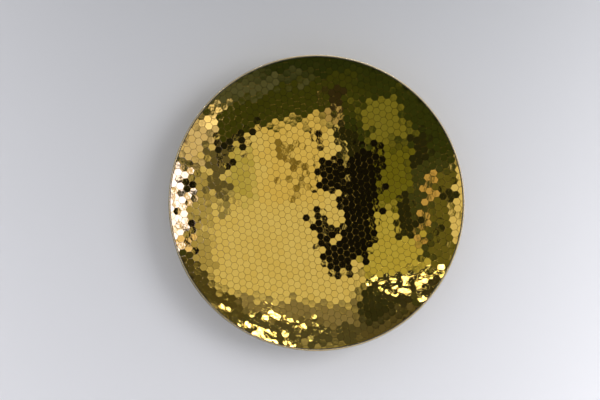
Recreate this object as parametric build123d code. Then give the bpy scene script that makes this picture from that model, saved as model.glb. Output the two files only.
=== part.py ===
from build123d import *
import os
from math import cos, hypot, radians, sin, sqrt, tan

# A round concave reflector that hangs on a wall. Its bowl is one sheet pressed into a honeycomb of small
# flat mirrors, held by a polished rim and side band. A spider of ribs with tabs in slots carries the bowl,
# a pair of 45 degree cleats hangs it, and two screw feet at the bottom set it plumb.
#
# It is drawn lying on its back with the mirror upwards: X is to the right, Y is up the wall and Z is the
# distance out from the wall. write_part() stands each piece up, so in the files +Z is up, the wall is the
# plane Y = 0 and the mirror looks along -Y.

# ---- driving dimensions, in millimetres and degrees ------------------------------------------------

DISH_RADIUS = 550.0
DISH_DEPTH = 112.0
FACET_PITCH = 26.0
FACET_TURN = 7.7

SKIN_THICKNESS = 2.5
SKIN_RADIUS = 546.3
STRIP_THICKNESS = 3.0
STRIP_WIDTH = 10.0
BOND_GAP = 0.15

WALL_GAP = 25.0
FRAME_PLATE = 5.0
RIB_COUNT = 8
RIB_THICKNESS = 5.0
RIB_HEIGHT_AT_AXIS = 19.0
RIB_START = 100.0
RIB_FOOT_END = 488.0
RIB_TIP = 525.0
HUB_TAB = (115.0, 165.0)
RING_TAB = (462.0, 484.0)
TAB_CLEARANCE = 0.1
WINDOW_RADII = (250.0, 340.0, 430.0)
WINDOW_SHARE = 0.3

HUB_ACROSS_FLATS = 360.0
HUB_BORE_RADIUS = 45.0
HUB_PAD_RADIUS = 60.0
RING_INNER = 455.0

SHEET = 1.5
COLLAR_OUTER = 548.0
COLLAR_LENGTH = 18.0
BAND_FOOT = 517.0
BAND_FOOT_LENGTH = 6.0
SEAM_ANGLE = 4.4
SEAM_MARGIN = 8.0
LIP_WIDTH = 5.5
LIP_THICKNESS = 1.8
LIP_CHAMFER = 0.9

WALL_PLATE_WIDTH = 300.0
WALL_PLATE_HEIGHT = 180.0
WALL_PLATE_THICKNESS = 4.0
WALL_PLATE_CORNER = 12.0
WALL_HOLE_SPACING_X = 250.0
WALL_HOLE_SPACING_Y = 130.0
WALL_HOLE_RADIUS = 4.5

CLEAT_LENGTH = 200.0
CLEAT_THICKNESS = 3.0
CLEAT_BASE = 35.0
CLEAT_FLANGE = 20.0
CLEAT_BEND_HEIGHT = 60.0
CLEAT_ANGLE = 45.0
CLEAT_SCREW_X = 70.0
CLEAT_SCREW_DROP = 20.0
STOP_WIDTH = 8.0
STOP_DEPTH = 16.0
STOP_LENGTH = 55.0
STOP_CLEARANCE = 0.5

SCREW_RADIUS = 2.5
SCREW_HEAD_RADIUS = 5.0
NUT_ACROSS_FLATS = 8.0
NUT_THICKNESS = 4.0

FOOT_CIRCLE = 484.5
FOOT_ANGLES = {"left": -112.5, "right": -67.5}
FOOT_RUBBER = 2.5
FOOT_RADIUS = 14.0
CUP_THICKNESS = 5.0
SOCKET_FLOOR = 4.0
NECK_RADIUS = 3.0
RUNNING_CLEARANCE = 0.05
SPINDLE_RADIUS = 4.0
SPINDLE_TOP = 75.0
WHEEL_RADIUS = 15.0
WHEEL_SIDES = 18
WHEEL_SPAN = (8.5, 12.5)
BUSH_ACROSS_FLATS = 20.0
BUSH_FLANGE = 2.0
BUSH_BARREL_RADIUS = 7.0
BUSH_STANDING_HEIGHT = 6.0

# ---- heights that follow from them -----------------------------------------------------------------

FRAME_FRONT = WALL_GAP + FRAME_PLATE
STRIP_BACK = FRAME_FRONT + RIB_HEIGHT_AT_AXIS
SKIN_BACK = STRIP_BACK + STRIP_THICKNESS
VERTEX = SKIN_BACK + SKIN_THICKNESS


def mirror_height(radius: float) -> float:
    """Height of the ideal mirror, a paraboloid, at a distance from the dish's axis."""
    return VERTEX + DISH_DEPTH * (radius / DISH_RADIUS) ** 2


def backing_height(radius: float, drop: float) -> float:
    """Height of the paraboloid that lies a given drop behind the bowl's back."""
    return mirror_height(radius) - SKIN_THICKNESS - drop


def backing_curve(start: float, end: float, drop: float) -> Bezier:
    """The parabola that lies a given drop behind the bowl's back, between two radii, as one exact curve."""
    bend_height = backing_height(0, drop) + DISH_DEPTH * start * end / DISH_RADIUS**2
    return Bezier(
        (start, backing_height(start, drop)),
        ((start + end) / 2, bend_height),
        (end, backing_height(end, drop)),
    )


LIP_UNDERSIDE = mirror_height(SKIN_RADIUS)
COLLAR_FOOT = LIP_UNDERSIDE - COLLAR_LENGTH
BAND_FOOT_TOP = WALL_GAP + BAND_FOOT_LENGTH
RING_OUTER = BAND_FOOT - SHEET


def slab(section: Sketch, bottom: float, top: float) -> Part:
    """A flat piece with its outline in X and Y, between two heights."""
    return Pos(0, 0, bottom) * extrude(section, top - bottom)


def ring_section(*points: tuple[float, float]) -> Face:
    """A closed section in radius and height, ready to be turned round the dish's axis."""
    return make_face(Plane.XZ * Polyline(*points, close=True))


# ---- the bowl, rim and side band -------------------------------------------------------------------


def facet(centre_x: float, centre_y: float) -> Face:
    """One flat hexagonal mirror.

    Planes that touch a paraboloid at the points of a honeycomb's centres meet exactly above the honeycomb's
    edges, and their corners lie a fixed distance behind the paraboloid. So every mirror is flat, every one
    has its own slope, and neighbours share their edges without a gap.
    """
    corner_reach = FACET_PITCH / sqrt(3)
    corner_drop = DISH_DEPTH * (corner_reach / DISH_RADIUS) ** 2
    corners = []
    for turn in range(6):
        angle = radians(FACET_TURN + 60 * turn)
        x = centre_x + corner_reach * cos(angle)
        y = centre_y + corner_reach * sin(angle)
        corners.append((x, y, mirror_height(hypot(x, y)) - corner_drop))
    return Face(Wire.make_polygon(corners))


def honeycomb() -> Shell:
    """All the mirrors, as one surface that reaches a little past the bowl's edge."""
    reach = SKIN_RADIUS + 0.75 * FACET_PITCH
    rows = range(-round(1.2 * reach / FACET_PITCH), round(1.2 * reach / FACET_PITCH) + 1)
    first = radians(FACET_TURN + 30)
    second = radians(FACET_TURN + 90)
    facets = []
    for i in rows:
        for j in rows:
            x = FACET_PITCH * (i * cos(first) + j * cos(second))
            y = FACET_PITCH * (i * sin(first) + j * sin(second))
            if hypot(x, y) < reach:
                facets.append(facet(x, y))
    return Shell(facets)


def facet_skin() -> Solid:
    """The bowl, one sheet pressed into the honeycomb: a tall round blank cut off in front by the mirrors,
    and behind by the same honeycomb one sheet's thickness lower."""
    blank = slab(Circle(SKIN_RADIUS), 0, LIP_UNDERSIDE + DISH_DEPTH).solid()
    mirrors = honeycomb()
    front_cut = blank.split(mirrors, keep=Keep.BOTTOM).solid()
    return front_cut.split(Pos(0, 0, -SKIN_THICKNESS) * mirrors, keep=Keep.TOP).solid()


def side_band() -> Part:
    """The polished sheet round the bowl: a collar at its edge, a taper and a foot round the frame's ring."""
    section = ring_section(
        (COLLAR_OUTER, LIP_UNDERSIDE),
        (COLLAR_OUTER, COLLAR_FOOT),
        (BAND_FOOT, BAND_FOOT_TOP),
        (BAND_FOOT, WALL_GAP),
        (BAND_FOOT - SHEET, WALL_GAP),
        (BAND_FOOT - SHEET, BAND_FOOT_TOP),
        (COLLAR_OUTER - SHEET, COLLAR_FOOT),
        (COLLAR_OUTER - SHEET, LIP_UNDERSIDE),
    )
    return revolve(section, Axis.Z)


def rim_ring() -> Part:
    """The edge trim: its wall grips the collar and its lip covers the bowl's edge."""
    inner = COLLAR_OUTER
    section = ring_section(
        (inner, COLLAR_FOOT),
        (DISH_RADIUS, COLLAR_FOOT),
        (DISH_RADIUS, LIP_UNDERSIDE + LIP_THICKNESS - LIP_CHAMFER),
        (DISH_RADIUS - LIP_CHAMFER, LIP_UNDERSIDE + LIP_THICKNESS),
        (DISH_RADIUS - LIP_WIDTH, LIP_UNDERSIDE + LIP_THICKNESS),
        (DISH_RADIUS - LIP_WIDTH, LIP_UNDERSIDE),
        (inner, LIP_UNDERSIDE),
    )
    return revolve(section, Axis.Z)


def seam_strip() -> Part:
    """The strip inside the side band that joins the sheet's two ends, at the bottom of the dish."""
    low = BAND_FOOT_TOP + SEAM_MARGIN
    high = COLLAR_FOOT - SEAM_MARGIN
    slope = (COLLAR_OUTER - BAND_FOOT) / (COLLAR_FOOT - BAND_FOOT_TOP)

    def inside(height: float) -> float:
        return RING_OUTER + slope * (height - BAND_FOOT_TOP)

    section = ring_section(
        (inside(low), low), (inside(high), high), (inside(high) - SHEET, high), (inside(low) - SHEET, low)
    )
    return Rot(0, 0, -90 - SEAM_ANGLE / 2) * revolve(section, Axis.Z, SEAM_ANGLE)


# ---- the frame -------------------------------------------------------------------------------------


def spokes() -> PolarLocations:
    """The ribs' directions."""
    return PolarLocations(0, RIB_COUNT)


def tab_slots(span: tuple[float, float]) -> Sketch:
    """The slots that a set of rib tabs stands in."""
    length = span[1] - span[0] + 2 * TAB_CLEARANCE
    width = RIB_THICKNESS + 2 * TAB_CLEARANCE
    slot = Pos((span[0] + span[1]) / 2, 0) * Rectangle(length, width)
    return Sketch() + [place * slot for place in spokes()]


def rib() -> Part:
    """One upright rib: a parabola in front, two tabs behind and windows that grow with its height."""
    front = backing_curve(RIB_START, RIB_TIP, STRIP_THICKNESS)
    below = [(RIB_FOOT_END, FRAME_FRONT)]
    for inner, outer in (RING_TAB, HUB_TAB):
        below += [(outer, FRAME_FRONT), (outer, WALL_GAP), (inner, WALL_GAP), (inner, FRAME_FRONT)]
    below.append((RIB_START, FRAME_FRONT))
    web = make_face(Plane.XZ * (front + Polyline(front @ 1, *below, front @ 0)))
    for radius in WINDOW_RADII:
        height = backing_height(radius, STRIP_THICKNESS) - FRAME_FRONT
        window = RegularPolygon(WINDOW_SHARE * height, 6)
        web -= Plane.XZ * Pos(radius, FRAME_FRONT + height / 2) * window
    return extrude(web, RIB_THICKNESS / 2, both=True)


def rib_strip() -> Part:
    """The soft strip that beds the bowl on a rib."""
    back = backing_curve(RIB_START, RIB_TIP, STRIP_THICKNESS)
    front = backing_curve(RIB_START, RIB_TIP, BOND_GAP)
    outline = back + Line(back @ 1, front @ 1) + front + Line(front @ 0, back @ 0)
    return extrude(make_face(Plane.XZ * outline), STRIP_WIDTH / 2, both=True)


def hub_plate() -> Part:
    """The octagonal plate at the middle of the frame, with a slot for each rib's inner tab."""
    outline = Rot(0, 0, 180 / RIB_COUNT) * RegularPolygon(HUB_ACROSS_FLATS / 2, RIB_COUNT, major_radius=False)
    return slab(outline - Circle(HUB_BORE_RADIUS) - tab_slots(HUB_TAB), WALL_GAP, FRAME_FRONT)


def hub_pad() -> Part:
    """The soft disc between the hub plate and the middle of the bowl."""
    return slab(Circle(HUB_PAD_RADIUS), FRAME_FRONT, backing_height(0, BOND_GAP))


def foot_places() -> dict[str, Location]:
    """Where the two screw feet stand, on the frame's ring."""
    places = {}
    for side, angle in FOOT_ANGLES.items():
        x = FOOT_CIRCLE * cos(radians(angle))
        y = FOOT_CIRCLE * sin(radians(angle))
        places[side] = Pos(x, y, 0)
    return places


def back_ring() -> Part:
    """The flat ring at the back of the frame: slots for the ribs' outer tabs and holes for the feet."""
    outline = Circle(RING_OUTER) - Circle(RING_INNER) - tab_slots(RING_TAB)
    for place in foot_places().values():
        outline -= place * Circle(BUSH_BARREL_RADIUS)
    return slab(outline, WALL_GAP, FRAME_FRONT)


# ---- the cleats and the wall plate -----------------------------------------------------------------


def cleat() -> Part:
    """A bent cleat on the wall plate: a base that is screwed down and a flange that leans out at 45 degrees.

    The flange's upper face runs on in line with the base's back, so the same piece turned half round, with
    its back on the hub plate, lies face to face on it.
    """
    lean = radians(CLEAT_ANGLE)
    thickness = CLEAT_THICKNESS
    tip_up = CLEAT_FLANGE * cos(lean)
    tip_out = CLEAT_FLANGE * sin(lean)
    section = Polyline(
        (0, 0),
        (-CLEAT_BASE, 0),
        (-CLEAT_BASE, thickness),
        (-thickness * tan(lean / 2), thickness),
        (tip_up - thickness * sin(lean), tip_out + thickness * cos(lean)),
        (tip_up, tip_out),
        close=True,
    )
    bar = extrude(make_face(Plane.YZ * section), CLEAT_LENGTH / 2, both=True)
    return Pos(0, CLEAT_BEND_HEIGHT, WALL_PLATE_THICKNESS) * bar


def half_turn() -> Location:
    """The half turn that carries the wall's cleat and screws to the dish's."""
    gap = WALL_GAP - WALL_PLATE_THICKNESS
    middle = Pos(0, CLEAT_BEND_HEIGHT + gap / 2, WALL_PLATE_THICKNESS + gap / 2)
    return middle * Rot(180, 0, 0) * middle.inverse()


def countersunk_screw(length: float) -> Part:
    """A flat-headed screw, its head's top at the origin and its point down."""
    taper = SCREW_HEAD_RADIUS - SCREW_RADIUS
    section = ring_section(
        (0, 0), (SCREW_HEAD_RADIUS, 0), (SCREW_RADIUS, -taper), (SCREW_RADIUS, -length), (0, -length)
    )
    return revolve(section, Axis.Z)


def cleat_screws(length: float) -> list[Part]:
    """The screws through the wall cleat's base, flush with its front."""
    height = CLEAT_BEND_HEIGHT - CLEAT_SCREW_DROP
    front = WALL_PLATE_THICKNESS + CLEAT_THICKNESS
    return [Pos(x, height, front) * countersunk_screw(length) for x in (-CLEAT_SCREW_X, CLEAT_SCREW_X)]


def wall_plate() -> Part:
    """The plate that is bolted to the wall, with four plain holes."""
    outline = RectangleRounded(WALL_PLATE_WIDTH, WALL_PLATE_HEIGHT, WALL_PLATE_CORNER)
    for place in GridLocations(WALL_HOLE_SPACING_X, WALL_HOLE_SPACING_Y, 2, 2):
        outline -= place * Circle(WALL_HOLE_RADIUS)
    return slab(outline, 0, WALL_PLATE_THICKNESS)


def side_stops() -> list[Part]:
    """Two lugs on the wall plate that keep the hung dish from creeping sideways."""
    x = CLEAT_LENGTH / 2 + STOP_CLEARANCE + STOP_WIDTH / 2
    lug = slab(Rectangle(STOP_WIDTH, STOP_LENGTH), WALL_PLATE_THICKNESS, WALL_PLATE_THICKNESS + STOP_DEPTH)
    return [Pos(side * x, CLEAT_BEND_HEIGHT, 0) * lug for side in (-1, 1)]


# ---- the screw feet --------------------------------------------------------------------------------


def foot_rubber() -> Part:
    """The rubber face that touches the wall."""
    return slab(Circle(FOOT_RADIUS), 0, FOOT_RUBBER)


def foot_cup() -> Part:
    """The steel disc behind the rubber, with a socket in which the spindle's neck turns."""
    top = FOOT_RUBBER + CUP_THICKNESS
    socket = slab(Circle(NECK_RADIUS + RUNNING_CLEARANCE), SOCKET_FLOOR, top)
    return slab(Circle(FOOT_RADIUS), FOOT_RUBBER, top) - socket


def foot_screw() -> Part:
    """The spindle with its neck in the cup and its thumbwheel, in one piece."""
    neck = slab(Circle(NECK_RADIUS), SOCKET_FLOOR + RUNNING_CLEARANCE, WHEEL_SPAN[0])
    wheel = slab(RegularPolygon(WHEEL_RADIUS, WHEEL_SIDES), *WHEEL_SPAN)
    return neck + wheel + slab(Circle(SPINDLE_RADIUS), WHEEL_SPAN[1], SPINDLE_TOP)


def foot_bush() -> Part:
    """The threaded bush in the frame's ring that the spindle runs in."""
    flange = RegularPolygon(BUSH_ACROSS_FLATS / 2, 6, major_radius=False)
    barrel = slab(Circle(BUSH_BARREL_RADIUS), WALL_GAP, FRAME_FRONT + BUSH_STANDING_HEIGHT)
    bore = slab(Circle(SPINDLE_RADIUS + RUNNING_CLEARANCE), 0, SPINDLE_TOP)
    return slab(flange, WALL_GAP - BUSH_FLANGE, WALL_GAP) + barrel - bore


# ---- the pieces, as they are written ---------------------------------------------------------------


def write_part(name: str, *shapes: Part | Solid) -> None:
    """Stand a piece up against the wall and write it; several shapes make a group of separate solids."""
    solids = [Rot(90, 0, 0) * solid for shape in shapes for solid in shape.solids()]
    export_step(solids[0] if len(solids) == 1 else Compound(solids), f"parts/{name}.step")


def write_wall_side() -> None:
    """Write the pieces that stay on the wall."""
    screws = cleat_screws(CLEAT_THICKNESS + WALL_PLATE_THICKNESS)
    write_part("wall_plate", wall_plate() - screws)
    write_part("wall_cleat", cleat() - screws)
    write_part("wall_cleat_screws", *screws)
    write_part("side_stops", *side_stops())


def write_dish() -> None:
    """Write the bowl, the frame and the dish's own cleat."""
    screws = [half_turn() * screw for screw in cleat_screws(CLEAT_THICKNESS + FRAME_PLATE + NUT_THICKNESS)]
    nut = RegularPolygon(NUT_ACROSS_FLATS / 2, 6, major_radius=False) - Circle(SCREW_RADIUS)
    nut_height = CLEAT_BEND_HEIGHT + WALL_GAP - WALL_PLATE_THICKNESS + CLEAT_SCREW_DROP
    nuts = [
        Pos(x, nut_height, 0) * slab(nut, FRAME_FRONT, FRAME_FRONT + NUT_THICKNESS)
        for x in (-CLEAT_SCREW_X, CLEAT_SCREW_X)
    ]
    write_part("facet_skin", facet_skin())
    write_part("rim_ring", rim_ring())
    write_part("side_band", side_band())
    write_part("seam_strip", seam_strip())
    write_part("hub_plate", hub_plate() - screws)
    write_part("hub_pad", hub_pad())
    write_part("back_ring", back_ring())
    for number, place in enumerate(spokes(), start=1):
        write_part(f"rib_{number}", place * rib())
        write_part(f"rib_strip_{number}", place * rib_strip())
    write_part("dish_cleat", half_turn() * cleat() - screws)
    write_part("dish_cleat_screws", *screws)
    write_part("dish_cleat_nuts", *nuts)


def write_feet() -> None:
    """Write the two screw feet and their bushes."""
    for side, place in foot_places().items():
        write_part(f"foot_bush_{side}", place * foot_bush())
        write_part(f"foot_screw_{side}", place * foot_screw())
        write_part(f"foot_cup_{side}", place * foot_cup())
        write_part(f"foot_rubber_{side}", place * foot_rubber())


os.makedirs("parts", exist_ok=True)
write_wall_side()
write_dish()
write_feet()
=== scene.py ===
"""The looks of a wall-hung honeycomb reflector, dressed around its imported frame.

The frame gives the pieces, their bodies and their places, in metres: +Z is up, the wall is the plane Y = 0
and the mirror looks along -Y. Round pieces are described by a radius from the dish's axis, which is the
line X = Z = 0, and a height, which is the distance out from the wall along -Y.
"""

from __future__ import annotations

import logging
import math
from contextlib import contextmanager
from dataclasses import dataclass, field
from enum import Enum
from typing import Callable, Iterator, Sequence, Union

import bmesh
import bpy
import numpy as np
from mathutils import Matrix, Vector

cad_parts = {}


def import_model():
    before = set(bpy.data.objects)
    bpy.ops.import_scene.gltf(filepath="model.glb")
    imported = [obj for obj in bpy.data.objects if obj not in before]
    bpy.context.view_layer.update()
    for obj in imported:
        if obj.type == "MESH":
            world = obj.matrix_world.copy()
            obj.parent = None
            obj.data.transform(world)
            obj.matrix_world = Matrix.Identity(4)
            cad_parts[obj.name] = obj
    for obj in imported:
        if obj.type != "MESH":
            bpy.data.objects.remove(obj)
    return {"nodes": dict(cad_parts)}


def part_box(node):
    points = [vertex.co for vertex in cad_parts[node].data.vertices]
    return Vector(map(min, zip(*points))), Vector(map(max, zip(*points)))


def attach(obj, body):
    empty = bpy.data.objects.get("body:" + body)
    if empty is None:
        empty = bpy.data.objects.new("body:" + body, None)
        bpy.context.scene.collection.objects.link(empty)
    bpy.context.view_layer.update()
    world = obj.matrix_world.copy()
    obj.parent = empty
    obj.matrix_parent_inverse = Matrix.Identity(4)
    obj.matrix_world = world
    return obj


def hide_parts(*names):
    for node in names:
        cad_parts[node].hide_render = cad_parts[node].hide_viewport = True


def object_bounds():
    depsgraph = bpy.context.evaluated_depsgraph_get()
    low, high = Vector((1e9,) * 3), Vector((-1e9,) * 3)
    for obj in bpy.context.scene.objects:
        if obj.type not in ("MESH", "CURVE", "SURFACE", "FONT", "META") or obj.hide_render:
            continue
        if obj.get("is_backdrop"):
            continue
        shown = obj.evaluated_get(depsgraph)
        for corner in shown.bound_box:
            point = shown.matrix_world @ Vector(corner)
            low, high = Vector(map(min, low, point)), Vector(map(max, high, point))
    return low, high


LOG = logging.getLogger("reflector")
MM = 0.001
ON_AXIS = 1e-9

Colour = tuple[float, float, float]
Point2 = tuple[float, float]


class Body(Enum):
    """The bodies that move on their own."""

    WALL = "wall_side"
    DISH = "dish"
    PAD_LEFT = "foot_pad_left"
    PAD_RIGHT = "foot_pad_right"
    SPINDLE_LEFT = "foot_spindle_left"
    SPINDLE_RIGHT = "foot_spindle_right"


class Slot(Enum):
    """The record's material slots."""

    GOLD_MIRROR = "gold_mirror"
    GOLD_BAND = "gold_band"
    ALUMINIUM = "frame_aluminium"
    FOAM = "soft_strip"
    PAINT = "painted_plate"
    ZINC = "zinc_fastener"
    BRASS = "bush_brass"
    STEEL = "foot_steel"
    RUBBER = "foot_rubber"


# ---- shader nodes ------------------------------------------------------------------------------------


class Signal:
    """A shader socket that Python arithmetic works on: every expression adds its Math nodes."""

    def __init__(self, graph: "Graph", node: bpy.types.Node, output: Union[str, int]) -> None:
        """Wrap one output socket of a node."""
        self.graph = graph
        self.owner = node
        self.socket = node.outputs[output]

    def output(self, name: Union[str, int]) -> "Signal":
        """Another output of the same node."""
        return Signal(self.graph, self.owner, name)

    def math(self, operation: str, *others: "Value", clamp: bool = False) -> "Signal":
        """This signal, and up to two more values, put through one Math node.

        Args:
            operation: the Math node's operation.
            others: the second and third values.
            clamp: whether the result stays from 0 to 1.

        Returns:
            The Math node's result.
        """
        return self.graph.math(operation, self, *others, clamp=clamp)

    def __add__(self, other: "Value") -> "Signal":
        """self + other."""
        return self.math("ADD", other)

    def __radd__(self, other: float) -> "Signal":
        """other + self."""
        return self.math("ADD", other)

    def __sub__(self, other: "Value") -> "Signal":
        """self - other."""
        return self.math("SUBTRACT", other)

    def __rsub__(self, other: float) -> "Signal":
        """other - self."""
        return self.graph.math("SUBTRACT", other, self)

    def __mul__(self, other: "Value") -> "Signal":
        """self * other."""
        return self.math("MULTIPLY", other)

    def __rmul__(self, other: float) -> "Signal":
        """other * self."""
        return self.math("MULTIPLY", other)

    def __truediv__(self, other: "Value") -> "Signal":
        """self / other."""
        return self.math("DIVIDE", other)

    def __neg__(self) -> "Signal":
        """-self."""
        return self.math("MULTIPLY", -1.0)

    def __abs__(self) -> "Signal":
        """The size of self."""
        return self.math("ABSOLUTE")

    def clamped(self) -> "Signal":
        """self, held between 0 and 1."""
        return self.math("ADD", 0.0, clamp=True)

    def between(self, low: float, high: float) -> "Signal":
        """self from 0 to 1, carried to the range from low to high."""
        return self * (high - low) + low


Value = Union[Signal, float]


class Graph:
    """The node tree of one material, or of the world."""

    def __init__(self, tree: bpy.types.NodeTree) -> None:
        """Empty a node tree, ready for new nodes."""
        self.tree = tree
        tree.nodes.clear()

    def node(
        self,
        kind: str,
        inputs: dict[Union[str, int], object] | None = None,
        output: Union[str, int, None] = 0,
        **settings: object,
    ) -> Signal | None:
        """Add one node.

        Args:
            kind: the node's type, without its ShaderNode prefix.
            inputs: the values or signals of its sockets, by name or number.
            output: the output that is wanted, or None for a node that has no output.
            settings: the node's own properties; stops gives a colour ramp's positions and colours.

        Returns:
            The wanted output, ready for arithmetic.
        """
        node = self.tree.nodes.new("ShaderNode" + kind)
        for name, value in settings.items():
            if name == "stops":
                self._set_stops(node.color_ramp, value)
            else:
                setattr(node, name, value)
        for name, value in (inputs or {}).items():
            if isinstance(value, Signal):
                self.tree.links.new(value.socket, node.inputs[name])
            else:
                node.inputs[name].default_value = value
        return None if output is None else Signal(self, node, output)

    @staticmethod
    def _set_stops(ramp: bpy.types.ColorRamp, stops: Sequence[tuple[float, Colour]]) -> None:
        """Give a colour ramp its stops."""
        while len(ramp.elements) < len(stops):
            ramp.elements.new(1.0)
        for element, (position, colour) in zip(ramp.elements, stops):
            element.position = position
            element.color = (*colour, 1.0)

    def math(self, operation: str, *values: Value, clamp: bool = False) -> Signal:
        """Add a Math node on one to three values."""
        return self.node("Math", dict(enumerate(values)), operation=operation, use_clamp=clamp)

    def mix(self, share: Value, first: object, second: object, blend: str = "MIX") -> Signal:
        """Mix two colours.

        Args:
            share: how much of the second colour shows.
            first: a colour, or a signal that carries one.
            second: a colour, or a signal that carries one.
            blend: the Mix node's blend type.

        Returns:
            The mixed colour.
        """
        colours = {6: with_alpha(first), 7: with_alpha(second)}
        return self.node("Mix", {0: share, **colours}, 2, data_type="RGBA", blend_type=blend)

    def place(self) -> Signal:
        """The object's own coordinates, in metres."""
        return self.node("TexCoord", output="Object")

    def stretched(self, x: float, y: float, z: float) -> Signal:
        """The object's own coordinates, multiplied along each axis."""
        return self.node("Mapping", {"Vector": self.place(), "Scale": (x, y, z)})

    def noise(self, scale: float, detail: float = 2.0, where: Signal | None = None) -> Signal:
        """Soft noise from 0 to 1, with scale periods in a metre."""
        inputs = {"Vector": where or self.place(), "Scale": scale, "Detail": detail}
        return self.node("TexNoise", inputs)

    def bump(self, height: Signal, distance: float, under: Signal | None = None) -> Signal:
        """The surface's normal, bent by a height from 0 to 1 that stands for a distance in metres."""
        inputs: dict[str, object] = {"Height": height, "Distance": distance}
        if under is not None:
            inputs["Normal"] = under
        return self.node("Bump", inputs)

    def surface(self, **sockets: object) -> None:
        """Make a Principled shader the material's surface.

        Args:
            sockets: values or signals by socket name, with an underscore for each space.
        """
        inputs = {name.replace("_", " "): with_alpha(value) for name, value in sockets.items()}
        self.node("OutputMaterial", {"Surface": self.node("BsdfPrincipled", inputs)}, None)


def with_alpha(value: object) -> object:
    """A plain colour with its alpha added; anything else stays as it is."""
    return (*value, 1.0) if isinstance(value, tuple) and len(value) == 3 else value


# ---- finishes ----------------------------------------------------------------------------------------


@dataclass(frozen=True)
class Finish:
    """A surface finish that any number of pieces share."""

    name: str
    slot: Slot

    def material(self) -> bpy.types.Material:
        """The finish as a material, made on first use."""
        made = bpy.data.materials.get(self.name)
        if made is None:
            made = bpy.data.materials.new(self.name)
            made.use_nodes = True
            self.paint(Graph(made.node_tree))
        return made

    def paint(self, graph: Graph) -> None:
        """Fill the material's node tree."""
        raise NotImplementedError


@dataclass(frozen=True)
class MirrorGold(Finish):
    """Gold lacquer over polished metal: each facet has a tone of its own, and the seams are darkened, partly
    by dust and partly as painted shade in the pressed grooves.
    """

    light: Colour = (0.83, 0.60, 0.125)
    deep: Colour = (0.78, 0.54, 0.095)
    # the seams' dark colour: partly dust, partly painted shade in the grooves and on their shoulders
    seam: Colour = (0.17, 0.11, 0.025)

    def paint(self, graph: Graph) -> None:
        """Vary the tone from facet to facet, darken the seams with dust and painted shade, and cloud the
        gloss a little.
        """
        tone = graph.node("Attribute", output="Fac", attribute_name=FACET_TONE)
        seam = graph.node("Attribute", output="Fac", attribute_name=SEAM_GRIME_AND_SHADE)
        cloud = graph.noise(9.0, 3.0)
        share = (tone * 0.7 + cloud * 0.6 - 0.15).clamped()
        haze = graph.noise(34.0, 4.0)
        gold = graph.mix(share, self.deep, self.light)
        graph.surface(
            # painted shade: the seam mark darkens the grooves and the facets' rounded shoulders, partly as
            # dust
            Base_Color=graph.mix((seam * 1.5).clamped(), gold, self.seam),
            Metallic=1.0,
            Roughness=(haze * haze).between(0.015, 0.045) + tone * 0.010 + seam * 0.08,
            Normal=graph.bump(graph.noise(75.0, 1.0), 0.00005),
        )


@dataclass(frozen=True)
class BandGold(Finish):
    """Gold-lacquered sheet, polished along its length, with rubbed and paler patches."""

    gold: Colour = (0.80, 0.60, 0.19)
    rubbed: Colour = (0.86, 0.80, 0.62)
    gloss: tuple[float, float] = (0.10, 0.24)

    def paint(self, graph: Graph) -> None:
        """Streak the gloss along the sheet, and pale the lacquer in patches where hands rub it."""
        streaks = graph.noise(26.0, 6.0, graph.stretched(1.0, 14.0, 1.0))
        patches = (graph.noise(7.0, 4.0) * 3.0 - 1.2).clamped()
        graph.surface(
            Base_Color=graph.mix(patches * 0.35, self.gold, self.rubbed),
            Metallic=1.0,
            Roughness=streaks.between(*self.gloss) + patches * 0.06,
            Normal=graph.bump(streaks, 0.00006),
        )


@dataclass(frozen=True)
class BrushedMetal(Finish):
    """Bare metal brushed along one axis, with handling marks."""

    base: Colour = (0.60, 0.61, 0.62)
    smooth: float = 0.28
    rough: float = 0.46
    grain: tuple[float, float, float] = (3.0, 90.0, 90.0)

    def paint(self, graph: Graph) -> None:
        """Lay fine parallel grain over a slow mottle."""
        grain = graph.noise(9.0, 5.0, graph.stretched(*self.grain))
        mottle = graph.noise(18.0, 5.0)
        dull = tuple(0.78 * channel for channel in self.base)
        graph.surface(
            Base_Color=graph.mix((mottle * 0.7 + grain * 0.3).clamped(), dull, self.base),
            Metallic=1.0,
            Roughness=(grain * 0.6 + mottle * 0.4).between(self.smooth, self.rough),
            Normal=graph.bump(grain, 0.00004),
        )


@dataclass(frozen=True)
class PressedBack(Finish):
    """Mill-finish sheet from behind: rolled grain, a tone to each pressed facet, grime by the ridges."""

    base: Colour = (0.62, 0.62, 0.60)
    worn: Colour = (0.70, 0.70, 0.69)
    grime: Colour = (0.34, 0.33, 0.30)

    def paint(self, graph: Graph) -> None:
        """Draw the rolled grain straight across the sheet, whatever the facets do."""
        tone = graph.node("Attribute", output="Fac", attribute_name=FACET_TONE)
        # on the back the same mark lays grime along the ridges
        ridge = graph.node("Attribute", output="Fac", attribute_name=SEAM_GRIME_AND_SHADE)
        grain = graph.noise(7.0, 6.0, graph.stretched(1.5, 60.0, 60.0))
        smears = (graph.noise(4.0, 5.0) * 2.4 - 0.9).clamped()
        metal = graph.mix((tone * 0.6 + grain * 0.5).clamped(), self.base, self.worn)
        graph.surface(
            Base_Color=graph.mix((ridge * 0.55 + smears * 0.25).clamped(), metal, self.grime),
            Metallic=1.0,
            Roughness=grain.between(0.20, 0.34) + smears * 0.10 + tone * 0.03,
            Normal=graph.bump(grain, 0.00003),
        )


@dataclass(frozen=True)
class PowderCoat(Finish):
    """Textured paint whose fine grain roughens and bumps it, with a little grime."""

    base: Colour = (0.60, 0.60, 0.58)
    grime: Colour = (0.42, 0.41, 0.38)

    def paint(self, graph: Graph) -> None:
        """Raise a fine leathery grain and dirty it in slow clouds."""
        grain = graph.noise(1600.0, 2.0)
        cloud = (graph.noise(13.0, 6.0) * 2.2 - 0.9).clamped()
        graph.surface(
            Base_Color=graph.mix(cloud * 0.5, self.base, self.grime),
            Roughness=(grain * 0.5 + cloud * 0.5).between(0.42, 0.66),
            Normal=graph.bump(grain, 0.00009),
        )


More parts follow.
